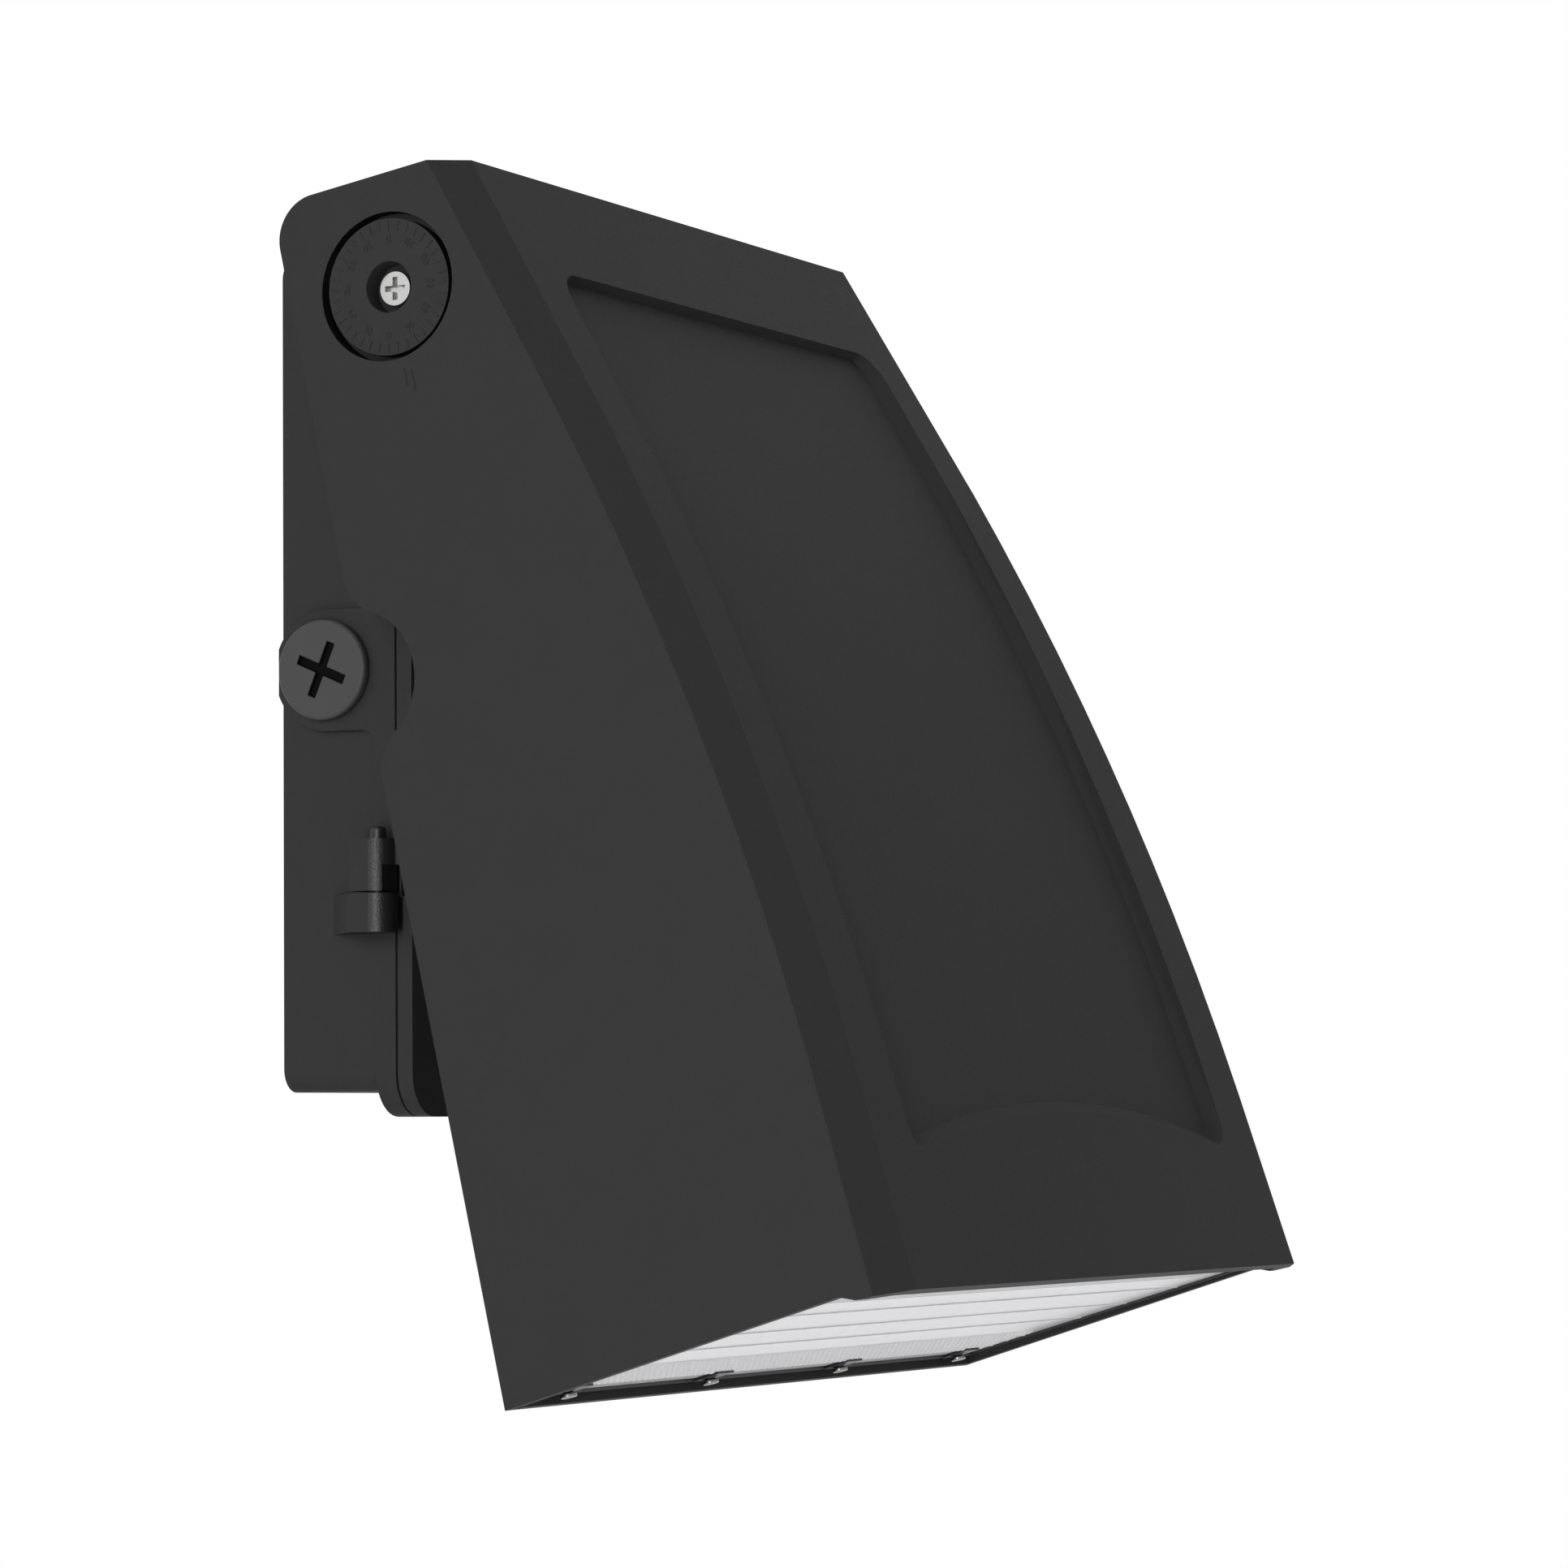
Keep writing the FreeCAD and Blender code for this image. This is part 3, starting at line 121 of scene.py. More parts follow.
class WALLPACK_PG_colours(bpy.types.PropertyGroup):
    """Finishes of the light."""

    coat: colour("Powder coat", "Dark grey textured coat of the castings", "#363636")
    plug_coat: colour("Plug coat", "Smoother, paler coat of the conduit plugs", "#444444")
    rubbed_coat: colour("Rubbed coat", "Darker, glossier coat of the hinge knuckles and pins", "#202020")
    # Painted shade: a near-black colour laid on the walls of the gaps round the dials and in the plugs' slots,
    # where shade falls.
    bore: colour("Machined bore", "Dark, dull film round the dials and in the plugs' slots", "#0e0e0e")
    rubber: colour("Rubber", "Seals and grommets", "#1c1c1c")
    black_plastic: colour("Black plastic", "Frame around the lens", "#191919")
    zinc: colour("Zinc", "Bright plating of the screws", "#8c8c8a")
    green_zinc: colour("Green zinc", "Green-dyed plating of the ground screw", "#2f7d47")
    stainless: colour("Stainless steel", "Friction washers", "#a8a8a8")
    spring_steel: colour("Spring steel", "Blackened clips on the lens", "#3a3a3c")
    lens: colour("Lens", "Moulded, diffusing glass", "#eeeef3")
    enamel: colour("Enamel", "White sheet of the reflector tray", "#f0f0ee")
    aluminium: colour("Aluminium", "Bare heat spreader", "#c9cacc")
    anodised: colour("Anodised aluminium", "Case of the driver", "#b9babd")
    board: colour("Board", "White solder mask of the light board", "#eeeeea")
    phosphor: colour("Phosphor", "Chips of the light board", "#e8cf6a")


class WALLPACK_PG_sizes(bpy.types.PropertyGroup):
    """Sizes of details that the solids leave plain."""

    casting_edge: length("Casting edge", "Rounding of the castings' long edges", 0.7 * MM)
    panel_draft_side: length("Panel draft, sides", "Slope of the sunk panel's side walls", 4.6 * MM)
    panel_draft_top: length("Panel draft, top", "Slope of the sunk panel's top wall", 1.2 * MM)
    panel_draft_foot: length("Panel draft, foot", "Slope of the sunk panel's lower wall", 3.5 * MM)
    dial_edge: length("Dial edge", "Rounding of the dials' crisp edges", 0.15 * MM)
    small_edge: length("Small edge", "Rounding of small pieces' edges", 0.35 * MM)
    tick_length: length("Tick length", "Length of a dial's marks", 2.4 * MM)
    tick_width: length("Tick width", "Width of a dial's marks", 0.3 * MM)
    mark_height: length("Mark height", "How far a dial's marks stand out", 0.2 * MM)
    number_height: length("Number height", "Height of a dial's numbers", 2.0 * MM)
    prism_pitch: length("Prism pitch", "Distance between the lens's small hexagonal prisms", 3.0 * MM)
    prism_height: length("Prism height", "How far the prisms stand out", 0.5 * MM)
    groove_width: length("Groove width", "Width of the lens's dividing grooves", 0.7 * MM)


# Nodes and materials ---------------------------------------------------------------------------------------

# The two colours that a mix node takes and the one that it gives, among sockets whose names repeat.
MIX_FIRST, MIX_SECOND, MIX_RESULT = 6, 7, 2

# Real grains of the coat are about 0.15 mm. They are drawn coarser, so that they show in the render.
COAT_GRAIN_MM = 0.4
COAT_WAVE_MM = 2.4
COAT_GRAIN_DEPTH = 0.11 * MM
# How much the roughness of the coat varies each way, and that of metal as shares of its middle.
COAT_ROUGHNESS_SPREAD = 0.08
METAL_SMOOTHEST, METAL_ROUGHEST = 0.7, 1.4
METAL_MARK_MM = 0.25
# How far light spreads inside the glass, in red, green and blue.
GLASS_DEPTH = (4 * MM, 4 * MM, 4 * MM)


def add_node(tree, kind, links=None, **settings):
    """Adds a shader node. Settings with an underscore for a space set sockets; links feed sockets."""
    node = tree.nodes.new(kind)
    for name, value in settings.items():
        if hasattr(node, name) and name not in node.inputs:
            setattr(node, name, value)
        else:
            node.inputs[name.replace("_", " ")].default_value = value
    for name, output in (links or {}).items():
        tree.links.new(output, node.inputs[name])
    return node


def new_material(name, **settings):
    """A material with its surface shader, set as asked, and the object coordinates that its patterns read."""
    material = bpy.data.materials.new(name)
    material.use_nodes = True
    tree = material.node_tree
    tree.nodes.clear()
    output = tree.nodes.new("ShaderNodeOutputMaterial")
    shader = tree.nodes.new("ShaderNodeBsdfPrincipled")
    for socket, value in settings.items():
        shader.inputs[socket.replace("_", " ")].default_value = value
    tree.links.new(shader.outputs["BSDF"], output.inputs["Surface"])
    place = tree.nodes.new("ShaderNodeTexCoord").outputs["Object"]
    return material, tree, shader, place


def per_metre(millimetres):
    """The scale of a noise whose features are this size."""
    return 1.0 / (millimetres * MM)


def noise(tree, place, millimetres, detail, **settings):
    """A noise whose features have a size in millimetres."""
    scale = per_metre(millimetres)
    return add_node(tree, "ShaderNodeTexNoise", {"Vector": place}, Scale=scale, Detail=detail, **settings)


def tint(tree, shader, place, base, spread, patch):
    """Lets a shader's colour vary a little, lighter and darker, over patches of a size in millimetres."""
    patches = noise(tree, place, patch, detail=4.0, Roughness=0.6)
    mix = add_node(tree, "ShaderNodeMix", {"Factor": patches.outputs[0]})
    mix.data_type = "RGBA"
    mix.inputs[MIX_FIRST].default_value = (*[part * (1 - spread) for part in base], 1)
    mix.inputs[MIX_SECOND].default_value = (*[min(part * (1 + spread), 1) for part in base], 1)
    tree.links.new(mix.outputs[MIX_RESULT], shader.inputs["Base Color"])


def roughen(tree, shader, pattern, low, high):
    """Lets a shader's roughness follow a pattern between two values."""
    between = add_node(tree, "ShaderNodeMapRange", {"Value": pattern.outputs[0]})
    between.inputs["To Min"].default_value = low
    between.inputs["To Max"].default_value = high
    tree.links.new(between.outputs[0], shader.inputs["Roughness"])


def emboss(tree, shader, pattern, strength, depth):
    """Makes a shader's surface rise and fall with a pattern, on top of any earlier one."""
    links = {"Height": pattern.outputs[0]}
    for earlier in shader.inputs["Normal"].links:
        links["Normal"] = earlier.from_socket
    bump = add_node(tree, "ShaderNodeBump", links, Strength=strength, Distance=depth)
    tree.links.new(bump.outputs[0], shader.inputs["Normal"])


def powder_coat(name, base, bump=1.0, roughness=0.45, gloss=0.015):
    """Polyester powder coat baked on cast aluminium.

    Seen close, its skin is pebbled like fine orange peel, so that edges and round parts glint in specks,
    while flat faces stay an even soft satin. A fine texture shades itself, so its gloss is low.
    """
    material, tree, shader, place = new_material(name, Specular_IOR_Level=gloss)
    tint(tree, shader, place, base, spread=0.035, patch=14.0)
    pebbles = noise(tree, place, COAT_GRAIN_MM, detail=3.0, Roughness=0.65)
    waves = noise(tree, place, COAT_WAVE_MM, detail=1.0)
    emboss(tree, shader, pebbles, strength=bump, depth=COAT_GRAIN_DEPTH)
    emboss(tree, shader, waves, strength=0.12, depth=0.2 * MM)
    roughen(tree, shader, pebbles, roughness - COAT_ROUGHNESS_SPREAD, roughness + COAT_ROUGHNESS_SPREAD)
    return material


def dull_film(name, base):
    """Painted shade: a nearly black film without gloss on the walls of narrow gaps, so that they read as dark as
    shade makes them.
    """
    material, tree, shader, place = new_material(name, Roughness=0.9, Specular_IOR_Level=0.05)
    tint(tree, shader, place, base, spread=0.1, patch=2.0)
    return material


def moulded_rubber(name, base):
    """Silicone rubber, moulded: matte, with a faint bloom."""
    material, tree, shader, place = new_material(name, Roughness=0.72, IOR=1.43)
    tint(tree, shader, place, base, spread=0.12, patch=3.0)
    emboss(tree, shader, noise(tree, place, millimetres=0.4, detail=2.0), strength=0.2, depth=0.05 * MM)
    return material


def spark_eroded_plastic(name, base):
    """Glass-filled nylon from a spark-eroded mould: an even, fine, dull grain."""
    material, tree, shader, place = new_material(name, Roughness=0.5, IOR=1.53)
    tint(tree, shader, place, base, spread=0.08, patch=5.0)
    emboss(tree, shader, noise(tree, place, millimetres=0.3, detail=2.0), strength=0.25, depth=0.04 * MM)
    return material


def plated_metal(name, base, roughness):
    """Rolled or turned metal, plated or bare: clear reflections broken by fine marks."""
    material, tree, shader, place = new_material(name, Metallic=1.0)
    tint(tree, shader, place, base, spread=0.06, patch=1.5)
    marks = noise(tree, place, METAL_MARK_MM, detail=4.0)
    roughen(tree, shader, marks, roughness * METAL_SMOOTHEST, roughness * METAL_ROUGHEST)
    emboss(tree, shader, marks, strength=0.08, depth=0.02 * MM)
    return material


def gloss_paint(name, base, roughness):
    """Stoved white enamel or a printed board's mask: smooth and slightly wavy."""
    material, tree, shader, place = new_material(name, Roughness=roughness)
    tint(tree, shader, place, base, spread=0.02, patch=9.0)
    emboss(tree, shader, noise(tree, place, millimetres=2.0, detail=1.0), strength=0.05, depth=0.05 * MM)
    return material


def diffusing_glass(name, base):
    """Pressed soda-lime glass with a diffusing inner face: milky, with a glossy skin."""
    depth = {"Subsurface_Weight": 0.25, "Subsurface_Radius": GLASS_DEPTH, "Subsurface_Scale": 1.0}
    material, tree, shader, place = new_material(name, Roughness=0.22, IOR=1.52, **depth)
    tint(tree, shader, place, base, spread=0.02, patch=6.0)
    emboss(tree, shader, noise(tree, place, millimetres=3.0, detail=1.0), strength=0.06, depth=0.05 * MM)
    return material


def make_materials(colours):
    """Every finish of the light, by the record's slot name."""
    return {
        "powder_coat": powder_coat("dark_textured_powder_coat", colours.coat),
        "plug_coat": powder_coat(
            "pale_fine_powder_coat", colours.plug_coat, bump=0.2, roughness=0.38, gloss=0.12
        ),
        "rubbed_coat": powder_coat("handled_powder_coat", colours.rubbed_coat, roughness=0.24, gloss=0.3),
        # Painted shade for the walls of the gaps round the dials and of the plugs' slots.
        "painted_gap_shade": dull_film("painted_shade_film", colours.bore),
        "gasket_rubber": moulded_rubber("black_silicone", colours.rubber),
        "black_plastic": spark_eroded_plastic("black_glass_filled_nylon", colours.black_plastic),
        "bright_zinc": plated_metal("bright_zinc_plate", colours.zinc, roughness=0.3),
        "ground_green": plated_metal("green_dyed_zinc", colours.green_zinc, roughness=0.3),
        "washer_steel": plated_metal("plain_stainless", colours.stainless, roughness=0.3),
        "lens_glass": diffusing_glass("pressed_diffusing_glass", colours.lens),
        "clip_steel": plated_metal("blackened_spring_steel", colours.spring_steel, roughness=0.35),
        "white_sheet": gloss_paint("stoved_white_enamel", colours.enamel, roughness=0.25),
        "bare_aluminium": plated_metal("rolled_aluminium", colours.aluminium, roughness=0.35),
        "board_white": gloss_paint("white_solder_mask", colours.board, roughness=0.4),
        "chip_yellow": gloss_paint("phosphor_silicone", colours.phosphor, roughness=0.2),
        "driver_case": plated_metal("satin_anodised_aluminium", colours.anodised, roughness=0.42),
    }


MATERIALS = {}


def finish_of(slot):
    """The material of a slot. All of them are made at the first call."""
    if not MATERIALS:
        MATERIALS.update(make_materials(bpy.context.scene.wallpack_colours))
    return MATERIALS[slot]


def slot_of(node):
    """The record's material slot of a CAD node."""
    return [part["material_slot"] for part in frame["record"]["subparts"] if part["node"] == node][0]


def body_of(node):
    """The moving body that a CAD node belongs to."""
    bodies = frame["record"]["behaviour"]["bodies"]
    return [body for body, nodes in bodies.items() if node in nodes][0]


# Modelling helpers -----------------------------------------------------------------------------------------

# Faces that meet at more than this angle meet at a sharp edge.
SHARP_ANGLE = math.radians(24.0)
# Flatter joints than this, and closer points, are left over from the CAD mesh.
FLAT_ANGLE = math.radians(0.6)
SAME_POINT = 0.005 * MM
ROUNDING_SEGMENTS = 5


def only(piece):
    """Makes a piece the one selected, active object."""
    for other in bpy.context.selected_objects:
        other.select_set(False)
    piece.select_set(True)
    bpy.context.view_layer.objects.active = piece


def settle(piece):
    """Bakes a piece's place into its mesh."""
    only(piece)
    bpy.ops.object.transform_apply(location=True, rotation=True, scale=True)


def join(pieces, name):
    """Joins pieces into the first one, under a name."""
    only(pieces[0])
    for piece in pieces[1:]:
        piece.select_set(True)
    if len(pieces) > 1:
        bpy.ops.object.join()
    pieces[0].name = name
    pieces[0].data.name = name
    return pieces[0]


def finish(piece, slot, body):
    """Gives a finished piece the material of its slot, its body, and smooth shading that keeps flat faces flat."""
    settle(piece)
    bpy.ops.object.shade_smooth_by_angle(angle=SHARP_ANGLE)
    normals = piece.modifiers.new("Flat faces", "WEIGHTED_NORMAL")
    normals.keep_sharp = True
    bpy.ops.object.modifier_apply(modifier=normals.name)
    piece.data.materials.clear()
    piece.data.materials.append(finish_of(slot))
    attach(piece, body)
    return piece


def copy_of(node, name):
    """A copy of a CAD node as one closed mesh with clean flat faces."""
    source = frame["nodes"][node]
    piece = bpy.data.objects.new(name, source.data.copy())
    bpy.context.scene.collection.objects.link(piece)
    only(piece)
    piece.data.materials.clear()
    bpy.ops.object.mode_set(mode="EDIT")
    bpy.ops.mesh.select_all(action="SELECT")
    bpy.ops.mesh.remove_doubles(threshold=SAME_POINT)
    bpy.ops.mesh.dissolve_limited(angle_limit=FLAT_ANGLE, delimit={"NORMAL"})
    bpy.ops.mesh.select_all(action="DESELECT")
    bpy.ops.object.mode_set(mode="OBJECT")
    return piece


def round_edges(piece, width, chosen=None):
    """Bevels a piece's sharp edges, or only those whose two ends a test picks."""
    mesh = piece.data
    weights = mesh.attributes.new("bevel_weight_edge", "FLOAT", "EDGE")
    sharp = sharp_edges(mesh)
    for edge in mesh.edges:
        ends = [mesh.vertices[index].co for index in edge.vertices]
        if edge.index in sharp and (chosen is None or chosen(*ends)):
            weights.data[edge.index].value = 1.0
    only(piece)
    bevel = piece.modifiers.new("Round", "BEVEL")
    bevel.limit_method = "WEIGHT"
    bevel.width = width
    bevel.segments = ROUNDING_SEGMENTS
    bpy.ops.object.modifier_apply(modifier=bevel.name)
    mesh = piece.data
    if "bevel_weight_edge" in mesh.attributes:
        mesh.attributes.remove(mesh.attributes["bevel_weight_edge"])


def sharp_edges(mesh):
    """Indices of a mesh's sharp edges."""
    shape = bmesh.new()
    shape.from_mesh(mesh)
    joints = [edge for edge in shape.edges if len(edge.link_faces) == 2]
    found = {edge.index for edge in joints if edge.calc_face_angle(0) > SHARP_ANGLE}
    shape.free()
    return found


def bar(name, start, end, width, height, normal):
    """A thin bar from start to end, half sunk in a face with this normal, so that it stands out by height."""
    along = end - start
    bpy.ops.mesh.primitive_cube_add(size=1)
    piece = bpy.context.object
    piece.name = name
    across = normal.cross(along).normalized()
    turn = Matrix((along.normalized(), across, normal.normalized())).transposed().to_4x4()
    scale = Matrix.Diagonal((along.length, width, height * 2, 1))
    piece.matrix_world = Matrix.Translation((start + end) / 2) @ turn @ scale
    settle(piece)
    return piece


# Castings --------------------------------------------------------------------------------------------------

# Where a face counts as on a hinge knuckle, behind a plug's outer face, and in the plug's slot.
KNUCKLE_REACH = 5.3 * MM
PLUG_FACE_DEPTH = 0.3 * MM
PLUG_SLOT_REACH = 8.3 * MM
# The narrow gap round a dial, in radii of the dial.
GAP_START, GAP_END = 0.97, 1.2
# The cosine to a direction above which a face looks that way, and below which it stands along it.
LOOKING, STANDING = 0.8, 0.5


def middle_of(node):
    """The middle of a CAD node's box."""
    low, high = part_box(node)
    return (Vector(low) + Vector(high)) / 2


HINGE_MIDDLE = middle_of("hinge_pins")
PLUG_MIDDLE = middle_of("conduit_plug_right")
PLUG_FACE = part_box("conduit_plug_right")[1][0]
DIAL_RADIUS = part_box("dial_left")[1][2] - middle_of("dial_left").z


def dress_casting(node, width, shape=None, chosen=None):
    """Replaces a CAD node by a copy of it, shaped further where asked, with rounded edges."""
    piece = copy_of(node, node + "_cast")
    if shape:
        shape(piece)
    round_edges(piece, width, chosen=chosen)
    finish(piece, slot_of(node), body_of(node))
    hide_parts(node)
    return piece


def from_axis(point):
    """A point's distance from the tilt axis."""
    return math.hypot(point.y - PIVOT.y, point.z - PIVOT.z)


def off_dial_holes(*ends):
    """Whether an edge lies clear of the dials, whose holes are machined and keep their crisp rims."""
    return all(from_axis(end) > DIAL_RADIUS * GAP_END for end in ends)


def repaint(piece, finish_name, chosen):
    """Gives another material to the faces of a finished piece whose centre and normal a test picks: a glossier
    coat, or a near-black film of painted shade.
    """
    piece.data.materials.append(finish_of(finish_name))
    for face in piece.data.polygons:
        if chosen(face.center, face.normal):
            face.material_index = 1


def in_dial_gap(spot, normal):
    """Whether a face is a wall of the narrow gap round a dial."""
    return GAP_START < from_axis(spot) / DIAL_RADIUS < GAP_END and abs(normal.x) < STANDING


def in_plug_slot(spot, _):
    """Whether a face of a conduit plug lies behind its outer face, near its middle."""
    off_axis = math.hypot(spot.y - PLUG_MIDDLE.y, spot.z - PLUG_MIDDLE.z)
    return abs(spot.x) < PLUG_FACE - PLUG_FACE_DEPTH and off_axis < PLUG_SLOT_REACH


def on_knuckle(spot, _):
    """Whether a face is on the round of a hinge knuckle."""
    return math.hypot(spot.x - HINGE_MIDDLE.x, spot.y - HINGE_MIDDLE.y) < KNUCKLE_REACH


def slope_panel_walls(piece, sizes):
    """Moves the foot of the sunk panel's walls inwards, so that they slope like a casting's."""
    shape = bmesh.new()
    shape.from_mesh(piece.data)
    moves = {}
    for edge in shape.edges:
        ends = [vertex.co for vertex in edge.verts]
        if len(edge.link_faces) != 2 or edge.is_convex or not off_dial_holes(*ends):
            continue
        floor, wall = sorted(edge.link_faces, key=lambda face: -face.normal.dot(HEAD_FORWARD))
        if floor.normal.dot(HEAD_FORWARD) < LOOKING or abs(wall.normal.dot(HEAD_FORWARD)) > STANDING:
            continue
        for vertex in edge.verts:
            moves.setdefault(vertex.index, []).append((wall.normal.copy(), floor.normal.copy()))
    shape.free()
    only(piece)
    for index, pairs in moves.items():
        inward = sum((wall for wall, _ in pairs), Vector()).normalized()
        out_of_floor = sum((floor for _, floor in pairs), Vector()).normalized()
        along = Vector((1, 0, 0)).cross(out_of_floor).normalized()
        along = along if along.dot(HEAD_UP) > 0 else -along
        rise = inward.dot(along)
        drop = sizes.panel_draft_top if rise < 0 else sizes.panel_draft_foot
        shift = Vector((inward.x * sizes.panel_draft_side, 0, 0)) + along * (rise * drop)
        piece.data.vertices[index].select = True
        bpy.ops.object.mode_set(mode="EDIT")
        bpy.ops.transform.translate(value=shift)
        bpy.ops.mesh.select_all(action="DESELECT")
        bpy.ops.object.mode_set(mode="OBJECT")


class WALLPACK_OT_castings(bpy.types.Operator):
    """Round the edges of the cast wall box, door, head and rear housing"""

    bl_idname = "wallpack.castings"
    bl_label = "Castings"

    def execute(self, context):
        sizes = context.scene.wallpack_sizes
        dress_casting("rear_housing", sizes.casting_edge)
        for node in ("wall_box", "door_plate"):
            repaint(dress_casting(node, sizes.casting_edge), "rubbed_coat", on_knuckle)
        head = dress_casting(
            "head_shell", sizes.casting_edge, lambda piece: slope_panel_walls(piece, sizes), off_dial_holes
        )
        # Painted shade: the walls of the gap round each dial get a near-black film.
        repaint(head, "painted_gap_shade", in_dial_gap)
        return {"FINISHED"}


SMALL_NODES = ("pivot_screws", "housing_screws", "door_screws", "clip_screws", "lens_clips", "optic_frame")


class WALLPACK_OT_small_parts(bpy.types.Operator):
    """Round the edges of plugs, pins, dials, screws, clips and the lens frame"""

    bl_idname = "wallpack.small_parts"
    bl_label = "Small parts"

    def execute(self, context):
        sizes = context.scene.wallpack_sizes
        for node in SMALL_NODES:
            dress_casting(node, sizes.small_edge)
        # Painted shade: the plugs' slots and the walls of the gaps round the dials get a near-black film.
        for side in SIDES:
            repaint(dress_casting("conduit_plug_" + side, sizes.small_edge), "painted_gap_shade", in_plug_slot)
            repaint(dress_casting("dial_" + side, sizes.dial_edge), "painted_gap_shade", in_dial_gap)
        repaint(dress_casting("hinge_pins", sizes.small_edge), "rubbed_coat", on_knuckle)
        return {"FINISHED"}


# Dials and pointers ----------------------------------------------------------------------------------------

# Each pointer line's two ends, as forward and up of the tilt axis in millimetres.
POINTER_LINES = (((0.3, -22.1), (0.3, -26.2)), ((2.3, -22.9), (2.2, -28.3)))
# The plain rim outside a dial's marks, and the angles between its marks and between its numbers.
DIAL_RIM = 0.7 * MM
DIAL_STEP_DEG = 10
DIAL_NUMBER_STEP_DEG = 30
# The font's nominal size, in heights of its digits.
FONT_SIZE = 1.4


def dial_number(step):
    """The reading at a step round the dial: 0 to 90 and back, twice round."""
    reading = step * DIAL_NUMBER_STEP_DEG % 180
    return reading if reading <= 90 else 180 - reading


def dial_ray(degrees):
    """The direction from a dial's middle to a place on its rim, counted from the lowest point."""
    angle = math.radians(degrees)
    return Vector((0, -math.sin(angle), -math.cos(angle)))


def dial_marks(name, side, sizes):
    """Raised marks and numbers on a dial's face."""
    low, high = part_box("dial_" + name)
    face = high[0] if side > 0 else low[0]
    radius = (high[2] - low[2]) / 2
    centre = Vector((face, PIVOT.y, PIVOT.z))
    outward = Vector((side, 0, 0))
    outer = radius - DIAL_RIM
    marks = []
    for degrees in range(0, 360, DIAL_STEP_DEG):
        ends = [centre + dial_ray(degrees) * reach for reach in (outer - sizes.tick_length, outer)]
        marks.append(bar("mark", *ends, sizes.tick_width, sizes.mark_height, outward))
    for step in range(360 // DIAL_NUMBER_STEP_DEG):
        ray = dial_ray(step * DIAL_NUMBER_STEP_DEG)
        bpy.ops.object.text_add()
        text = bpy.context.object
        text.data.body = str(dial_number(step))
        text.data.size = sizes.number_height * FONT_SIZE
        text.data.align_x = "CENTER"
        text.data.align_y = "CENTER"
        text.data.extrude = sizes.mark_height
        only(text)
        bpy.ops.object.convert(target="MESH")
        text = bpy.context.object
        up = -ray
        right = up.cross(outward)
        spot = centre + ray * (outer - sizes.tick_length - sizes.number_height)
        text.matrix_world = Matrix.Translation(spot) @ Matrix((right, up, outward)).transposed().to_4x4()
        settle(text)
        marks.append(text)
    piece = join(marks, f"dial_marks_{name}")
    return finish(piece, "powder_coat", "door")


def pointer(name, side, sizes):
    """Two raised lines on the head's side, below the dial, that point at its marks."""
    lines = []
    for line in POINTER_LINES:
        ends = [side_point(side, forward * MM, up * MM) for forward, up in line]
        lines.append(bar("line", *ends, sizes.tick_width, sizes.mark_height, side_normal(side)))
    piece = join(lines, f"pointer_{name}")
    return finish(piece, "powder_coat", "head")


def side_slope():
    """Half the head's width at its tilt axis, and how fast it narrows upwards."""
    points = [on_head(vertex.co) for vertex in frame["nodes"]["head_shell"].data.vertices]
    top = max(up for _, _, up in points)
    top_half = max(across for across, _, up in points if up > top - MM)
    rim_half, rim = max((across, up) for across, _, up in points)
    narrowing = (rim_half - top_half) / (top - rim)
    return top_half + narrowing * top, narrowing


def side_point(side, forward, up):
    """A point on the head's outer side face."""
    half, narrowing = side_slope()
    return head_point(side * (half - narrowing * up), forward, up)


def side_normal(side):
    """The way that the head's outer side face looks."""
    _, narrowing = side_slope()
    return Vector((side, 0, 0)) + HEAD_UP * narrowing


class WALLPACK_OT_dials(bpy.types.Operator):
    """Raised marks and numbers on both dials, and the pointers on the head's sides"""

    bl_idname = "wallpack.dials"
    bl_label = "Dial marks and pointers"

    def execute(self, context):
        sizes = context.scene.wallpack_sizes
        for name, side in SIDES.items():
            dial_marks(name, side, sizes)
            pointer(name, side, sizes)
        return {"FINISHED"}


# Lens ------------------------------------------------------------------------------------------------------

# Where the lens's grooves, prisms and hatch of close ribs run, as forward of the tilt axis on the upright
# head, and how far apart the hatch's ribs are and how much shorter at each end.
GROOVES_FORWARD = (13.0 * MM, 27.5 * MM, 43.5 * MM)
PRISMS_FRONT = -1.0 * MM
HATCH_REAR = 55.0 * MM
HATCH_PITCH = 1.5 * MM
HATCH_INSET = 7 * MM
# How far the pattern stays inside the lens's side edges.
PATTERN_INSET = 1.5 * MM
# A prism's sides, its base and tip radius in pitches, and the distance of its rows in pitches.
PRISM_SIDES = 6
PRISM_BASE, PRISM_TIP = 0.56, 0.1
PRISM_ROW = math.sqrt(0.75)


def lens_face():
    """The lens's lower face: the up of its rear edge, its rear and front, and its rise per forward."""
    points = [on_head(vertex.co) for vertex in frame["nodes"]["lens"].data.vertices]
    rear, front = min(point[1] for point in points), max(point[1] for point in points)
    rear_up = min(up for _, forward, up in points if forward < rear + MM)
    front_up = min(up for _, forward, up in points if forward > front - MM)
    return rear, front, rear_up, (front_up - rear_up) / (front - rear)


def lens_half_width():
    """Half the width of the lens's pattern."""
    points = [on_head(vertex.co) for vertex in frame["nodes"]["lens"].data.vertices]
    return max(point[0] for point in points) - PATTERN_INSET


def under_lens(across, forward):
    """A point on the lens's lower face."""
    rear, _, rear_up, rise = lens_face()
    return head_point(across, forward, rear_up + (forward - rear) * rise)


def lens_down():
    """The way that the lens's lower face looks."""
    _, _, _, rise = lens_face()
    return (HEAD_FORWARD * rise - HEAD_UP).normalized()


def repeated(piece, step, count):
    """Repeats a piece at equal steps."""
    only(piece)
    array = piece.modifiers.new("Repeat", "ARRAY")
    array.use_relative_offset = False
    array.use_constant_offset = True
    array.constant_offset_displace = step
    array.count = count
    bpy.ops.object.modifier_apply(modifier=array.name)


